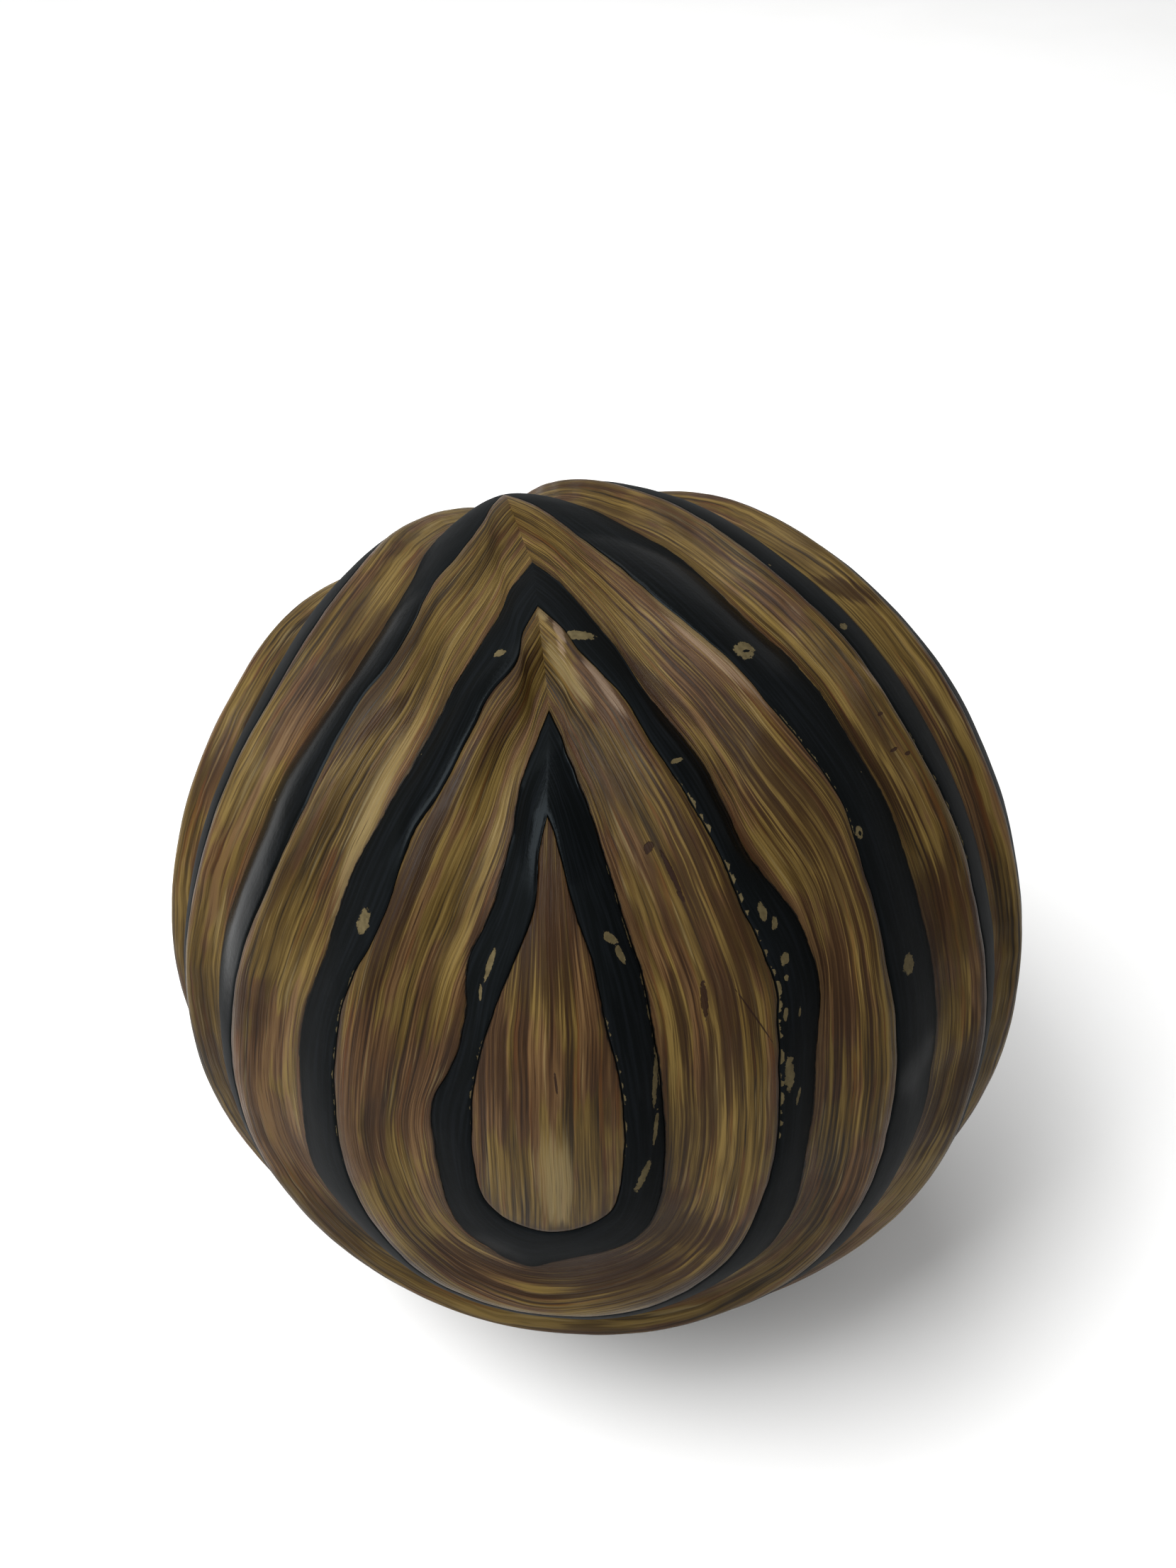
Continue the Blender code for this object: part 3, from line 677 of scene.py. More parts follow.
@dataclass
class Finish:
    """A material under construction: its tree, its shader and the maps that a carved band carries."""

    name: str
    centre: np.ndarray
    material: bpy.types.Material = field(init=False)

    def __post_init__(self) -> None:
        """Starts the material with its Principled shader."""
        self.material = bpy.data.materials.new(self.name)
        self.material.use_nodes = True
        self.tree = self.material.node_tree
        self.shader = self.tree.nodes["Principled BSDF"]
        coordinates = add_node(self.tree, "ShaderNodeTexCoord")
        self.place = coordinates.outputs["Object"]
        scaled = add_node(self.tree, "ShaderNodeVectorMath", {0: self.place, "Scale": 1.0 / MM}, operation="SCALE")
        self.place_mm = scaled.outputs[0]

    def add(self, kind: str, inputs: dict | None = None, stops=(), **settings) -> bpy.types.NodeSocket:
        """Adds a node to this material and gives its first output."""
        return add_node(self.tree, kind, inputs, stops, **settings).outputs[0]

    def math(self, operation: str, *values) -> bpy.types.NodeSocket:
        """One step of arithmetic on values or outputs."""
        return self.add("ShaderNodeMath", dict(enumerate(values)), operation=operation)

    def noise_mm(self, size_mm: float, detail: float = 2.0, roughness: float = 0.5, shift: float = 0.0):
        """Noise whose features are about size_mm across, in the ball's own space."""
        mapping = {0: self.place_mm, 1: (1.0 / size_mm,) * 3, 2: (shift,) * 3}
        where = self.add("ShaderNodeVectorMath", mapping, operation="MULTIPLY_ADD")
        return self.add("ShaderNodeTexNoise", {"Vector": where, "Scale": 1.0, "Detail": detail, "Roughness": roughness})

    def between_limits(self, value, low: float, high: float, to_low: float = 0.0, to_high: float = 1.0):
        """A value taken smoothly from the range low to high onto another range."""
        limits = {"Value": value, "From Min": low, "From Max": high, "To Min": to_low, "To Max": to_high}
        return self.add("ShaderNodeMapRange", limits, interpolation_type="SMOOTHSTEP")

    def mix(self, factor, first, second, blend: str = "MIX"):
        """Two colours mixed by a factor."""
        made = add_node(self.tree, "ShaderNodeMix", data_type="RGBA", blend_type=blend)
        for socket, value in ((made.inputs[0], factor), (made.inputs[6], first), (made.inputs[7], second)):
            if isinstance(value, bpy.types.NodeSocket):
                self.tree.links.new(value, socket)
            else:
                socket.default_value = value
        return made.outputs[2]

    def map_value(self, name: str):
        """A value that a carved band carries at its points."""
        made = add_node(self.tree, "ShaderNodeAttribute", attribute_name=name, attribute_type="GEOMETRY")
        return made.outputs["Fac"]

    def grain_axes(self):
        """Millimetres along and across the grain."""
        grain = self.add("ShaderNodeUVMap", uv_map="grain")
        axes = add_node(self.tree, "ShaderNodeSeparateXYZ", {0: grain})
        return axes.outputs[0], axes.outputs[1]

    def streaks(self, along, across, length_mm: float, pitch_mm: float, shift: float, detail: float = 2.0):
        """Noise drawn out along the grain into strokes of about the given length and pitch."""
        x = self.math("MULTIPLY", along, 1.0 / length_mm)
        y = self.math("MULTIPLY", across, 1.0 / pitch_mm)
        where = self.add("ShaderNodeCombineXYZ", {0: x, 1: y, 2: shift})
        return self.add("ShaderNodeTexNoise", {"Vector": where, "Scale": 1.0, "Detail": detail, "Roughness": 0.55})

    def marks(self, group: bpy.types.NodeTree, marks: tuple, jag, soft: float = 0.15):
        """The union of all marks, as one mask."""
        mask = None
        for mark in marks:
            middle, along, across = mark.axes(self.centre)
            made = add_node(self.tree, "ShaderNodeGroup", node_tree=group)
            self.tree.links.new(self.place, made.inputs["Place"])
            self.tree.links.new(jag, made.inputs["Jag"])
            made.inputs["Soft"].default_value = soft
            made.inputs["Middle"].default_value = middle
            made.inputs["Along"].default_value = along
            made.inputs["Across"].default_value = across
            mask = made.outputs[0] if mask is None else self.math("MAXIMUM", mask, made.outputs[0])
        return mask

    def bump(self, height, depth_mm: float):
        """Feeds the shader's normal with a height from 0 to 1 that stands for the given depth."""
        inputs = {"Height": height, "Distance": depth_mm * MM, "Strength": 1.0}
        self.tree.links.new(self.add("ShaderNodeBump", inputs), self.shader.inputs["Normal"])

    def feed(self, **sockets) -> bpy.types.Material:
        """Feeds the shader's inputs; an underscore in a name stands for a space."""
        for name, value in sockets.items():
            socket = self.shader.inputs[name.replace("_", " ").title().replace("Ior", "IOR")]
            if isinstance(value, bpy.types.NodeSocket):
                self.tree.links.new(value, socket)
            else:
                socket.default_value = value
        return self.material


WOOD_CRACKS = (
    Mark(7.9, 2.9, 4.2, 0.45, -25.0),
    Mark(8.9, 0.4, 1.2, 0.35, -35.0),
    Mark(11.8, -11.2, 3.6, 0.6, -8.0),
    Mark(5.5, 5.7, 1.1, 0.8, 10.0),
    Mark(-4.6, -19.7, 2.2, 0.22, -4.0),
    Mark(16.9, -12.6, 6.5, 0.16, -38.0),
    Mark(-15.5, -18.0, 1.6, 0.3, 25.0),
)
BLACK_CHIPS = (
    Mark(1.2, -4.1, 1.7, 0.75, -50.0),
    Mark(2.3, -5.9, 2.0, 0.6, -25.0),
    Mark(-11.9, -7.1, 3.4, 0.6, 18.0),
    Mark(-13.0, -10.1, 1.5, 0.35, 5.0),
    Mark(17.8, -1.4, 1.8, 0.95, -20.0),
    Mark(19.3, -2.6, 1.2, 0.7, 10.0),
    Mark(20.4, -6.5, 1.2, 1.0, 20.0),
    Mark(20.6, -8.6, 0.6, 0.5, 0.0),
    Mark(20.6, -12.5, 1.2, 0.5, 0.0),
    Mark(22.6, -12.6, 1.0, 0.3, 0.0),
    Mark(21.6, -19.6, 3.8, 1.1, -12.0),
    Mark(23.3, -22.8, 1.6, 0.4, 5.0),
    Mark(-26.5, -2.4, 2.4, 1.5, 20.0),
    Mark(-2.2, 30.8, 3.1, 1.25, 80.0),
    Mark(-11.6, 28.9, 1.2, 0.85, 80.0),
    Mark(17.4, 29.7, 2.6, 1.9, 50.0),
    Mark(37.7, -7.8, 2.0, 1.8, 0.0),
    Mark(6.4, -20.5, 5.0, 0.5, 0.0),
    Mark(6.6, -26.5, 3.5, 0.45, 2.0),
    Mark(5.2, -32.5, 3.6, 0.8, 18.0),
    Mark(0.8, 38.5, 1.6, 0.7, 60.0),
    Mark(29.9, 7.7, 1.2, 1.0, 0.0),
    Mark(8.5, 15.1, 1.3, 0.5, 60.0),
    Mark(32.7, 36.4, 1.6, 0.8, 60.0),
)
# Darker zones of the paint's own tone, in degrees; the two wide flat zones low on the front (up -43° and -52°) are
# painted shade that darkens the bottom of the wood.
DARK_ZONES = (
    Mark(-6.0, -1.0, 21.0, 9.0, 4.0),
    Mark(10.5, 3.0, 14.0, 3.4, -22.0),
    Mark(13.0, -20.0, 18.0, 4.5, 3.0),
    Mark(-3.0, -52.0, 36.0, 8.0, 90.0),
    Mark(53.0, -29.0, 30.0, 8.0, 8.0),
    Mark(4.0, -43.0, 30.0, 5.0, 90.0),
    Mark(-10.9, -17.6, 16.0, 2.0, 2.0),
    Mark(-19.7, 4.0, 22.0, 2.6, 25.0),
    Mark(-16.9, 9.9, 5.0, 1.6, 15.0),
    Mark(-14.0, -4.7, 9.0, 2.0, 8.0),
    Mark(14.4, -4.8, 16.0, 3.5, -10.0),
    Mark(9.6, -12.5, 12.0, 2.0, -8.0),
    Mark(-9.7, 25.5, 8.0, 1.6, 30.0),
    Mark(20.9, 12.6, 20.0, 6.0, -35.0),
    Mark(29.0, -5.0, 18.0, 6.0, -12.0),
    Mark(7.0, 25.3, 12.0, 2.0, -42.0),
    Mark(35.8, 17.7, 14.0, 3.0, -35.0),
    Mark(44.8, -5.7, 20.0, 3.0, 0.0),
    Mark(-35.8, 33.4, 12.0, 2.5, 32.0),
    Mark(-26.5, 21.2, 10.0, 1.6, 38.0),
    Mark(-55.1, 11.6, 14.0, 2.0, 12.0),
    Mark(38.0, 49.1, 12.0, 2.0, -45.0),
)
# Mauve-brown zones of the paint's own tone; the zones at up 22.9° and 28.1°, high on the first two wood rings, also
# carry the pinkish tint of painted sheen.
MAUVE_ZONES = (
    Mark(-28.6, -22.5, 22.0, 5.0, 8.0),
    Mark(-23.2, -39.2, 18.0, 5.0, 50.0),
    Mark(-5.0, -51.0, 26.0, 6.0, 90.0),
    Mark(10.8, -37.1, 18.0, 5.0, -50.0),
    Mark(-42.3, -21.0, 30.0, 5.0, -8.0),
    Mark(27.9, -13.4, 24.0, 4.5, 5.0),
    Mark(22.9, -31.7, 20.0, 4.5, 25.0),
    Mark(13.4, 28.1, 24.0, 3.5, -38.0),
    Mark(25.8, 16.7, 14.0, 3.0, -30.0),
    Mark(-0.1, 22.9, 14.0, 2.0, -32.0),
    Mark(-0.1, -14.4, 14.0, 2.4, -4.0),
    Mark(-48.6, 32.9, 16.0, 4.0, 30.0),
    Mark(-52.2, -11.1, 26.0, 3.0, -2.0),
    Mark(45.6, 31.8, 14.0, 3.0, -40.0),
    Mark(21.9, 53.2, 10.0, 3.0, -50.0),
)
# Painted highlights: light spots where the varnish catches the light, on the wood rings and at the lower end of the
# drop.
PAINTED_HIGHLIGHT_ZONES = (
    Mark(-3.6, 25.8, 8.0, 1.2, -32.0),
    Mark(11.5, 31.1, 12.0, 1.4, -38.0),
    Mark(-6.5, 34.1, 2.2, 1.1, 0.0),
    Mark(-5.3, -32.5, 12.0, 3.0, 0.0),
    Mark(-28.4, 8.3, 16.0, 2.2, 20.0),
)
# Painted sheen: lavender-brown spots where the varnish reflects the overhead light, high on the wood rings.
PAINTED_SHEEN_ZONES = (
    Mark(12.5, 28.5, 9.0, 1.0, -40.0),
    Mark(15.5, 26.0, 8.0, 0.9, -38.0),
    Mark(0.5, 24.0, 6.0, 0.8, -30.0),
    Mark(-46.0, 33.0, 8.0, 2.0, 28.0),
    Mark(-4.6, 31.0, 5.0, 0.7, -12.0),
    Mark(37.0, 26.0, 8.0, 1.0, -34.0),
)
PINHOLES = (
    Mark(34.4, 34.6, 0.45, 0.45, 0.0),
    Mark(35.9, 23.6, 0.4, 0.4, 0.0),
    Mark(37.9, 19.2, 0.55, 0.35, 60.0),
    Mark(39.2, 18.5, 0.4, 0.4, 0.0),
    Mark(17.6, 29.6, 1.0, 0.35, 70.0),
    Mark(30.0, 7.6, 0.5, 0.4, 0.0),
)


@dataclass(frozen=True)
class PaintedWood:
    """Cast polyresin brushed with thin ochre, olive and brown paints as wood grain, then varnished.

    To the eye: fine brush lines that follow the carving, olive and mauve-brown zones, dark smudges, a soft gloss;
    painted sheen and highlights in listed spots, and painted shade along the band edges and at the bottom.
    """

    olive: tuple = ("#1e1508", "#453515", "#625028")
    mauve: tuple = ("#201308", "#3e2a16", "#594328")
    # Dark brown for smudges, scored streaks and darker zones; also painted shade along the band edges and at the
    # bottom.
    smudge_and_shade: str = "#221306"
    # Light tan of dry-brushed strokes; also painted highlights.
    pale_strokes_and_highlights: str = "#7f6f4a"
    rust: str = "#4a2a0e"
    # Lavender-brown of the painted sheen.
    painted_sheen_colour: str = "#87735f"
    crack: str = "#1b0c06"
    line: str = "#0b0805"

    def build(self, centre: np.ndarray, group: bpy.types.NodeTree) -> bpy.types.Material:
        """Makes the material.

        Args:
            centre: the ball's centre, for the marks' places.
            group: the oval mark node group.

        Returns:
            The finished material.
        """
        made = Finish("painted_wood_grain", centre)
        along, across = made.grain_axes()
        drift = made.math("SUBTRACT", made.noise_mm(13.0), 0.5)
        across = made.math("MULTIPLY_ADD", drift, 0.9, across)
        brush = made.streaks(along, across, 17.0, 0.3, 0.0, 5.0)
        stroke = made.streaks(along, across, 26.0, 0.9, 5.3, 4.0)
        tone = made.streaks(along, across, 30.0, 3.2, 9.1)
        value = made.math("MULTIPLY", brush, 0.5)
        value = made.math("MULTIPLY_ADD", stroke, 0.26, value)
        value = made.math("MULTIPLY_ADD", tone, 0.24, value)
        value = made.add("ShaderNodeMapRange", {"Value": value, "From Min": 0.412, "From Max": 0.58})
        places = (0.0, 0.5, 1.0)
        olive = made.add("ShaderNodeValToRGB", {"Fac": value}, tuple(zip(places, self.olive)))
        mauve = made.add("ShaderNodeValToRGB", {"Fac": value}, tuple(zip(places, self.mauve)))
        bristles = made.math("MULTIPLY", made.math("SUBTRACT", made.math("ADD", brush, stroke), 1.0), 5.0)
        edge = made.math("MINIMUM", made.map_value("edge_in"), made.map_value("edge_out"))
        zone = made.math("ADD", made.noise_mm(14.0, 3.0, 0.6, 3.7), made.streaks(along, across, 22.0, 1.4, 21.0))
        # Mauve zones of the paint; two of them also carry the pinkish tint of painted sheen.
        zone = made.math("MULTIPLY_ADD", made.marks(group, MAUVE_ZONES, bristles, 0.8), 0.16, zone)
        zone = made.math("ADD", zone, made.between_limits(edge, 2.2, 0.0, 0.0, 0.06))
        colour = made.mix(made.between_limits(zone, 1.0, 1.14), olive, mauve)
        rust = made.between_limits(made.streaks(along, across, 17.0, 0.8, 33.0), 0.58, 0.7, 0.0, 0.5)
        colour = made.mix(rust, colour, linear(self.rust))
        # Light dry-brushed strokes in the paint, plus painted highlights in the listed zones.
        pale_strokes_and_highlights = made.between_limits(made.streaks(along, across, 14.0, 0.5, 47.0), 0.6, 0.74, 0.0, 0.35)
        pale_strokes_and_highlights = made.math("MULTIPLY_ADD", made.marks(group, PAINTED_HIGHLIGHT_ZONES, bristles, 0.7), 0.5, pale_strokes_and_highlights)
        colour = made.mix(pale_strokes_and_highlights, colour, linear(self.pale_strokes_and_highlights))
        # Painted sheen: the wood turns lavender-brown in the listed sheen spots.
        painted_sheen = made.math("MULTIPLY", made.marks(group, PAINTED_SHEEN_ZONES, bristles, 0.9), 0.45)
        colour = made.mix(painted_sheen, colour, linear(self.painted_sheen_colour))
        ragged = made.math("MULTIPLY_ADD", made.math("SUBTRACT", brush, 0.5), 0.9, made.noise_mm(15.0, 2.0, 0.5, 6.1))
        ragged = made.math("ADD", ragged, made.streaks(along, across, 18.0, 1.5, 71.0, 3.0))
        # Dark smudges of the paint and darker zones; the two lowest zones are painted shade at the bottom.
        smudge_and_shade = made.between_limits(ragged, 1.08, 1.3, 0.0, 0.7)
        marked = made.math("MULTIPLY", made.marks(group, DARK_ZONES, bristles, 0.8), 0.78)
        colour = made.mix(made.math("MAXIMUM", smudge_and_shade, marked), colour, linear(self.smudge_and_shade))
        scored = made.between_limits(made.streaks(along, across, 6.5, 0.2, 61.0, 1.0), 0.37, 0.25, 0.0, 0.62)
        colour = made.mix(scored, colour, linear(self.smudge_and_shade))
        jag = made.math("MULTIPLY", made.math("SUBTRACT", made.noise_mm(0.5, 3.0, 0.65), 0.5), 2.4)
        cracks = made.marks(group, WOOD_CRACKS + PINHOLES, jag)
        colour = made.mix(made.math("MULTIPLY", cracks, 0.9), colour, linear(self.crack))
        # Painted shade, with some darker paint: the wood darkens over its last 1.3 mm towards each band edge, where its
        # face dips into the scored groove.
        rough_edge = made.math("MULTIPLY_ADD", made.math("SUBTRACT", made.noise_mm(0.9, 2.0), 0.5), -0.4, edge)
        shade = made.between_limits(rough_edge, 1.3, 0.0, 0.0, 0.45)
        colour = made.mix(shade, colour, linear(self.smudge_and_shade))
        colour = made.mix(made.between_limits(rough_edge, 0.2, 0.06), colour, linear(self.line))
        height = made.math("MULTIPLY_ADD", scored, -0.5, value)
        height = made.math("MULTIPLY_ADD", cracks, -1.5, height)
        made.bump(height, 0.05)
        gloss = made.between_limits(made.noise_mm(5.0, 3.0, 0.6, 8.0), 0.35, 0.65, 0.38, 0.5)
        return made.feed(base_color=colour, roughness=gloss, specular_ior_level=0.11)


WAXED_ZONES = (
    Mark(-4.0, 9.0, 14.0, 8.0, 10.0),
    Mark(-15.0, 17.0, 22.0, 7.0, 27.0),
    Mark(-36.0, 16.0, 44.0, 14.0, 27.0),
    Mark(13.5, 13.5, 18.0, 7.0, -31.0),
    Mark(10.0, 38.0, 24.0, 10.0, -50.0),
)


@dataclass(frozen=True)
class BlackEnamel:
    """Satin black enamel brushed over polyresin, flaked along its edges down to the tan undercoat.

    To the eye: near black with a cool broad sheen, a slight orange peel, and small tan chips and ragged edges.
    """

    black: str = "#040505"
    grey: str = "#0a0c0e"
    pale_tan: str = "#5e543b"
    deep_tan: str = "#2d2616"

    def build(self, centre: np.ndarray, group: bpy.types.NodeTree) -> bpy.types.Material:
        """Makes the material.

        Args:
            centre: the ball's centre, for the marks' places.
            group: the oval mark node group.

        Returns:
            The finished material.
        """
        made = Finish("satin_black_enamel", centre)
        along, across = made.grain_axes()
        brushed = made.streaks(along, across, 9.0, 0.5, 2.0)
        colour = made.mix(made.between_limits(brushed, 0.4, 0.7), linear(self.black), linear(self.grey))
        jag = made.math("MULTIPLY", made.math("SUBTRACT", made.noise_mm(0.55, 3.0, 0.65), 0.5), 3.0)
        chips = made.marks(group, BLACK_CHIPS, jag)
        bare = chips
        ragged = made.math("MULTIPLY", made.math("SUBTRACT", made.noise_mm(0.5, 3.0, 0.7, 4.0), 0.5), 0.42)
        for side, shift in (("in", 11.0), ("out", 27.0)):
            edge = made.math("ADD", made.map_value("edge_" + side), ragged)
            length = made.streaks(along, across, 1.5, 40.0, shift, 3.0)
            reach = made.math("MULTIPLY", made.map_value("wear_" + side), made.between_limits(length, 0.42, 0.6))
            reach = made.math("MULTIPLY", reach, 0.5)
            inside = made.between_limits(made.math("SUBTRACT", reach, edge), -0.04, 0.06)
            off_line = made.between_limits(made.map_value("edge_" + side), 0.1, 0.17)
            bare = made.math("MAXIMUM", bare, made.math("MULTIPLY", inside, off_line))
        dots = made.add("ShaderNodeTexVoronoi", {"Vector": made.place_mm, "Scale": 0.4, "Randomness": 1.0})
        dot_size = made.between_limits(made.noise_mm(6.0, 1.0, 0.5, 6.0), 0.55, 0.7, 0.0, 0.075)
        dot = made.math("LESS_THAN", dots, dot_size)
        bare = made.math("MAXIMUM", bare, dot)
        undercoat = made.mix(made.noise_mm(0.7, 2.0, 0.6, 9.0), linear(self.deep_tan), linear(self.pale_tan))
        colour = made.mix(bare, colour, undercoat)
        pits = made.marks(group, PINHOLES, jag)
        colour = made.mix(pits, colour, linear(self.black))
        peel = made.noise_mm(0.45, 2.0, 0.5, 1.0)
        height = made.math("MULTIPLY_ADD", bare, -3.0, made.math("MULTIPLY_ADD", brushed, 0.6, peel))
        made.bump(height, 0.016)
        waxed = made.marks(group, WAXED_ZONES, made.math("MULTIPLY", jag, 0.1), 0.9)
        waxed = made.math("MAXIMUM", waxed, made.between_limits(made.noise_mm(16.0, 2.0, 0.5, 4.4), 0.56, 0.72, 0.0, 0.3))
        sheen = made.between_limits(waxed, 0.0, 0.7, 0.7, 0.24)
        roughness = made.math("MAXIMUM", sheen, made.math("MULTIPLY", bare, 0.7))
        return made.feed(base_color=colour, roughness=roughness, specular_ior_level=0.06, specular_tint=self.sheen())

    def sheen(self) -> tuple[float, float, float, float]:
        """The cool tint of the enamel's sheen."""
        return linear("#cfe0ea")


@dataclass(frozen=True)
class CastResin:
    """Bare cast polyresin: matt, light tan, with a faint mottle and tiny air pits from the mould."""

    light: str = "#a8987c"
    deep: str = "#8a7a60"
    pit: str = "#4a3f2e"

    def build(self, centre: np.ndarray) -> bpy.types.Material:
        """Makes the material."""
        made = Finish("bare_cast_polyresin", centre)
        mottle = made.noise_mm(3.0, 4.0, 0.6)
        colour = made.mix(made.between_limits(mottle, 0.3, 0.7), linear(self.deep), linear(self.light))
        pits = made.add("ShaderNodeTexVoronoi", {"Vector": made.place_mm, "Scale": 0.6})
        pit = made.between_limits(pits, 0.14, 0.08)
        colour = made.mix(pit, colour, linear(self.pit))
        made.bump(made.math("SUBTRACT", mottle, pit), 0.05)
        return made.feed(base_color=colour, roughness=0.7)


@dataclass(frozen=True)
class PressedFelt:
    """Pressed wool felt: matt near-black with short crossing fibres that catch the light."""

    fibre: str = "#2c2b29"
    shade: str = "#0f0f0f"

    def build(self, centre: np.ndarray) -> bpy.types.Material:
        """Makes the material."""
        made = Finish("pressed_black_felt", centre)
        fuzz = made.noise_mm(0.35, 4.0, 0.75)
        clumps = made.noise_mm(1.6, 2.0, 0.5, 7.0)
        value = made.math("MULTIPLY_ADD", clumps, 0.4, made.math("MULTIPLY", fuzz, 0.6))
        colour = made.mix(made.between_limits(value, 0.38, 0.62), linear(self.shade), linear(self.fibre))
        made.bump(value, 0.15)
        return made.feed(base_color=colour, roughness=0.95, sheen_weight=0.4, sheen_roughness=0.6)


@dataclass(frozen=True)
class StudioFloor:
    """Matt white paper sweep: almost white, with a breath of tooth so that it isn't a flat colour."""

    white: str = "#f4f4f4"
    warm: str = "#efefee"

    def build(self, centre: np.ndarray) -> bpy.types.Material:
        """Makes the material."""
        made = Finish("white_paper_sweep", centre)
        tooth = made.noise_mm(40.0, 3.0)
        return made.feed(base_color=made.mix(tooth, linear(self.white), linear(self.warm)), roughness=0.9)


# The ball -------------------------------------------------------------------------------------------------------

@dataclass
class CarvedBall:
    """All carved bands, from the front's drop to the back's drop."""

    centre: np.ndarray
    opening_radius: float = 9.8 * MM
    opened: tuple = ("front_wood_5", "seam_black", "back_black_2", "back_wood_2")

    def build(self) -> list[tuple[bpy.types.Object, str]]:
        """Makes every band.

        Returns:
            Each piece with the name of the CAD node that it stands for.
        """
        pieces = []
        for band in self.bands():
            piece = band.build()
            if band.name in self.opened:
                with_opening(piece, self.centre, self.opening_radius)
            pieces.append((piece, band.name))
        return pieces

    def bands(self) -> list[Band]:
        """The bands of both sides and those between them, with their outlines."""
        bands = []
        for number in range(1, FRONT_WAVES + 1):
            bands += self.both_sides("front_black_" + str(number), Wave.FIRST_FALL if number == 1 else Wave.FALLING)
            if number < FRONT_WAVES:
                bands += self.both_sides("front_wood_" + str(number), Wave.RISING)
        edge = self.joined("front_drop")[-1]
        for side, rows in (("front", edge), ("back", turned_to_back(edge))):
            bands.append(Drop(side + "_drop", Wave.FIRST_FALL, Outline(rows), Outline(rows), self.centre))
        back_crest = turned_to_back(self.joined("front_wood_" + str(BACK_WAVES))[-1])
        crests = (self.joined("front_black_" + str(FRONT_WAVES))[0], back_crest)
        valley = self.joined("front_black_" + str(FRONT_WAVES))[-1]
        last_crest = between(*crests, polar(valley)[0], FIFTH_CREST_SHARE)
        start = between(*crests, polar(back_crest)[0], FIFTH_CREST_SHARE)
        bands.append(Band("front_wood_5", Wave.RISING, Outline(last_crest), Outline(valley), self.centre))
        bands.append(Band("seam_black", Wave.MEETING, Outline(back_crest), Outline(start), self.centre))
        return bands

    def both_sides(self, name: str, wave: Wave) -> list[Band]:
        """A front band, with its twin on the back when the back has that wave too."""
        inner, outer = self.joined(name)
        bands = [Band(name, wave, Outline(outer), Outline(inner), self.centre)]
        if int(name[-1]) <= BACK_WAVES:
            twin = name.replace("front", "back")
            turned = Outline(turned_to_back(outer)), Outline(turned_to_back(inner))
            bands.append(Band(twin, wave, *turned, self.centre))
        return bands

    def joined(self, name: str) -> list[np.ndarray]:
        """A front band's outlines, moved back over the half joint gap that its CAD solid leaves to its neighbours."""
        rows = wall_loops(name, self.centre)
        step = 0.5 * JOINT_GAP / BALL_RADIUS
        if len(rows) == 1:
            return [unit(rows[0] + unit(rows[0] - unit(rows[0].mean(axis=0))) * step)]
        inner, outer = rows
        across = unit(outer - inner)
        return [unit(inner - across * step), unit(outer + across * step)]


@dataclass
class Foot:
    """The felt pad that the ball stands on, with a soft pressed rim."""

    rim_mm: float = 0.35
    rings: int = 14
    sides: int = 120

    def build(self) -> bpy.types.Object:
        """Makes the pad in the place of its CAD disc."""
        low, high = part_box("felt_pad")
        radius = (high.x - low.x) / 2.0
        middle = (low + high) / 2.0
        rim = self.rim_mm * MM
        profile = [(radius * i / self.rings - rim * i / self.rings, low.z) for i in range(1, self.rings + 1)]
        for i in range(1, 6):
            turn = math.pi / 2.0 * i / 5
            profile.append((radius - rim + rim * math.sin(turn), low.z + rim * (1.0 - math.cos(turn))))
        for i in range(0, 6):
            turn = math.pi / 2.0 * i / 5
            profile.append((radius - rim + rim * math.cos(turn), high.z - rim * (1.0 - math.sin(turn))))
        profile += [(radius * share, high.z) for share in (0.6, 0.2)]
        mesh = bmesh.new()
        columns = []
        for j in range(self.sides):
            turn = math.tau * j / self.sides
            column = []
            for reach, height in profile:
                fluff = 1.0 - 0.006 * (1.0 + noise.noise(Vector((math.cos(turn), math.sin(turn), height / rim)) * 9.0))
                place = (middle.x + reach * fluff * math.cos(turn), middle.y + reach * fluff * math.sin(turn), height)
                column.append(mesh.verts.new(place))
            columns.append(column)
        for left, right in zip(columns, columns[1:] + columns[:1]):
            for i in range(len(profile) - 1):
                mesh.faces.new((left[i], left[i + 1], right[i + 1], right[i]))
        bmesh.ops.holes_fill(mesh, edges=[edge for edge in mesh.edges if edge.is_boundary], sides=0)
        bmesh.ops.recalc_face_normals(mesh, faces=mesh.faces)
        data = bpy.data.meshes.new("felt_pad_soft")
        mesh.to_mesh(data)
        mesh.free()
        data.shade_smooth()
        data.set_sharp_from_angle(angle=math.radians(50.0))
        return new_object("felt_pad_soft", data)


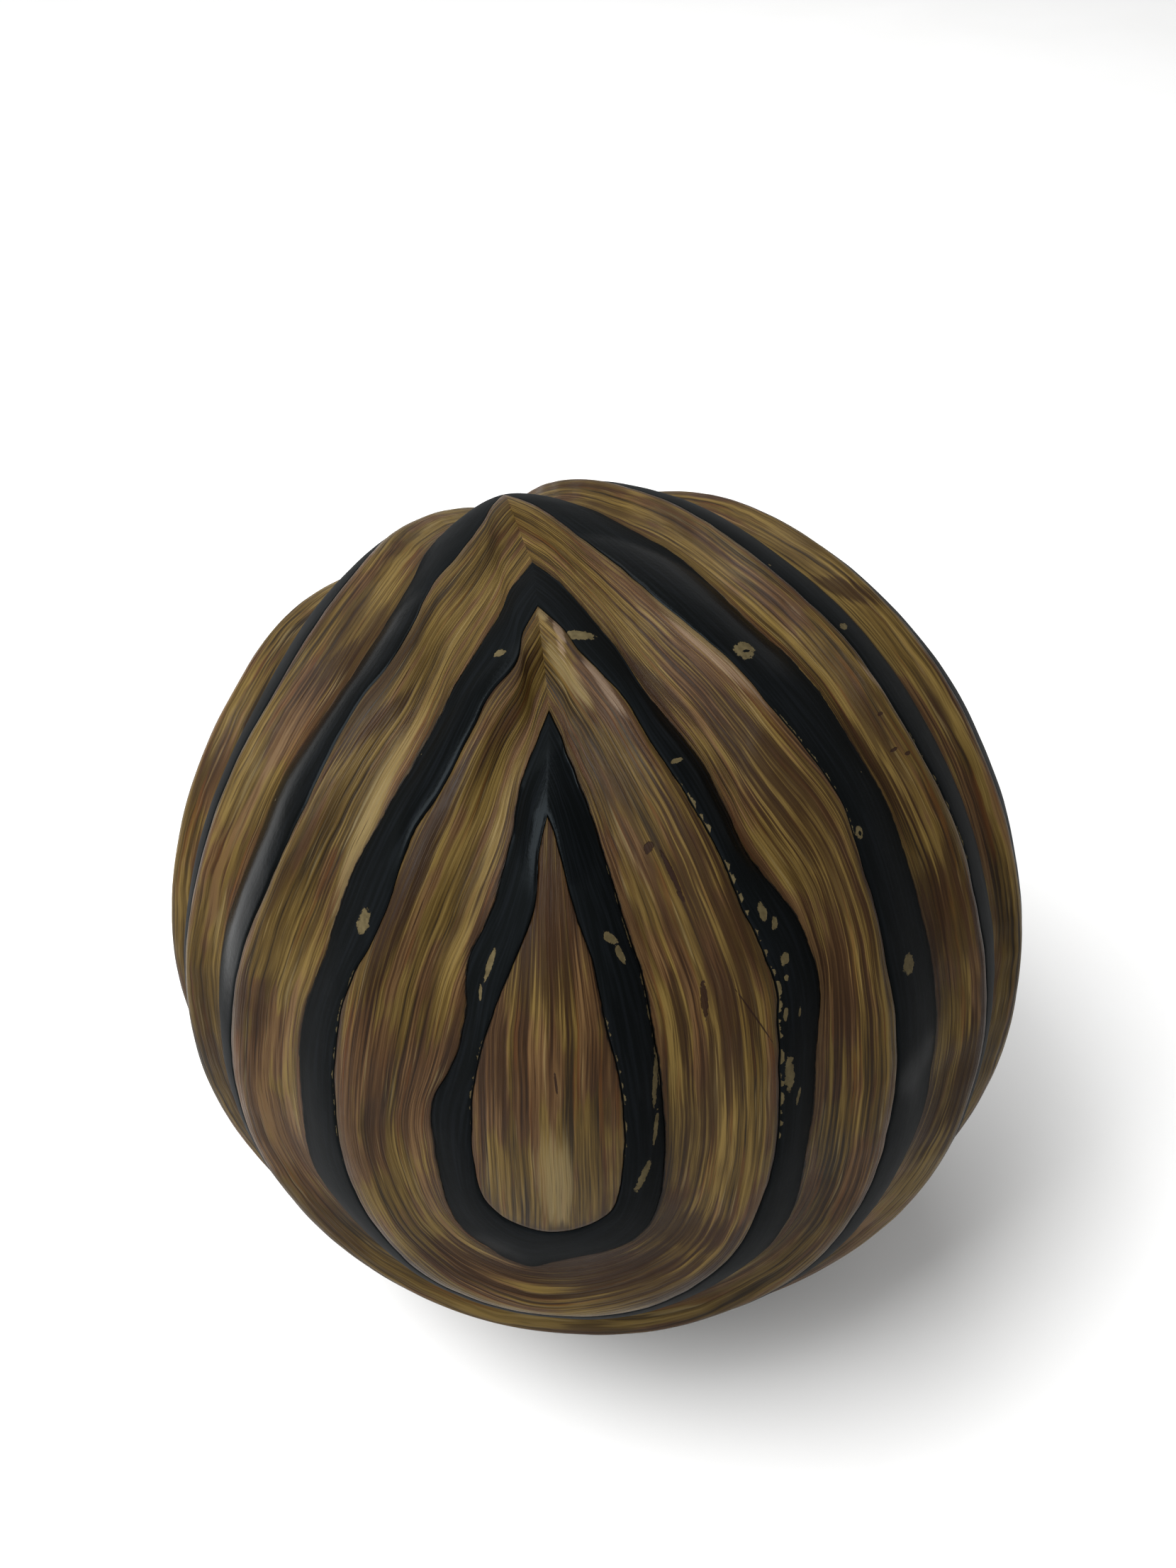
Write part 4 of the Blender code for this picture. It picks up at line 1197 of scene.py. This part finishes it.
@dataclass
class Studio:
    """The floor, the soft lights and the camera."""

    centre: np.ndarray
    distance: float = 0.2
    lens_mm: float = 37.95
    ball_below_degrees: float = 4.0
    ball_right_degrees: float = 0.37

    def build(self) -> None:
        """Makes the floor, the lights, the surroundings and the camera."""
        self.floor()
        self.light("overhead_softbox", (-0.33, -0.17, 0.56), 0.46, 6.6)
        self.light("rear_window", (-0.1, 0.32, 0.64), 0.44, 2.0)
        self.light("left_fill", (-0.8, -0.5, 0.6), 0.5, 1.5)
        world = bpy.data.worlds.new("studio_room")
        world.use_nodes = True
        world.node_tree.nodes["Background"].inputs["Color"].default_value = (1.0, 1.0, 1.0, 1.0)
        world.node_tree.nodes["Background"].inputs["Strength"].default_value = 0.5
        bpy.context.scene.world = world
        bpy.context.scene.view_settings.view_transform = "Standard"
        self.camera()

    def floor(self) -> None:
        """A wide round floor at the height of the ball's foot."""
        mesh = bmesh.new()
        bmesh.ops.create_circle(mesh, cap_ends=True, segments=96, radius=4.0)
        data = bpy.data.meshes.new("paper_floor")
        mesh.to_mesh(data)
        mesh.free()
        floor = new_object("paper_floor", data)
        floor.location.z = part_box("felt_pad")[0].z - 0.02 * MM
        data.materials.append(StudioFloor().build(self.centre))

    def light(self, name: str, place: tuple[float, float, float], size: float, power: float) -> None:
        """A square soft light that faces the ball.

        Args:
            name: the light's name.
            place: where it hangs, in metres from the ball's centre.
            size: its side in metres.
            power: its power in watts.
        """
        data = bpy.data.lights.new(name, "AREA")
        data.size = size
        data.energy = power
        lamp = bpy.data.objects.new(name, data)
        lamp.location = Vector(self.centre) + Vector(place)
        lamp.rotation_euler = (Vector(self.centre) - lamp.location).to_track_quat("-Z", "Y").to_euler()
        bpy.context.scene.collection.objects.link(lamp)

    def camera(self) -> None:
        """The camera in front of the ball, raised to the front pole and aimed a little above the ball."""
        data = bpy.data.cameras.new("camera")
        data.lens = self.lens_mm
        data.sensor_width = 36.0
        data.clip_start = 0.01
        camera = bpy.data.objects.new("camera", data)
        camera.location = Vector(self.centre + FRONT * self.distance)
        aim = Vector(-FRONT).to_track_quat("-Z", "Y")
        tilt = Euler((math.radians(self.ball_below_degrees), math.radians(self.ball_right_degrees), 0.0))
        camera.rotation_euler = (aim @ tilt.to_quaternion()).to_euler()
        bpy.context.scene.collection.objects.link(camera)
        bpy.context.scene.camera = camera


def main() -> None:
    """Builds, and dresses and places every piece."""
    logging.basicConfig(level=logging.INFO, format="%(message)s")
    centre = ball_centre()
    group = mark_group()
    finishes = {
        "wood": (PaintedWood().build(centre, group), "faux_wood"),
        "black": (BlackEnamel().build(centre, group), "black_enamel"),
    }
    for piece, node in CarvedBall(centre).build():
        material, slot = finishes["black" if "black" in node else "wood"]
        piece.data.materials.clear()
        piece.data.materials.append(material)
        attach(piece, "root")
        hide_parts(node)
        LOG.info("%s: %d faces", piece.name, len(piece.data.polygons))
    pad = Foot().build()
    pad.data.materials.append(PressedFelt().build(centre))
    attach(pad, "root")
    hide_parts("felt_pad")
    LOG.info("%s: %d faces", pad.name, len(pad.data.polygons))
    resin = CastResin().build(centre)
    for node in ("core_upper_half", "core_lower_half", "base_plug"):
        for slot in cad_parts[node].material_slots:
            slot.material = resin
        LOG.info("%s: kept from the frame", node)
    Studio(centre).build()


if __name__ == "__main__":
    main()
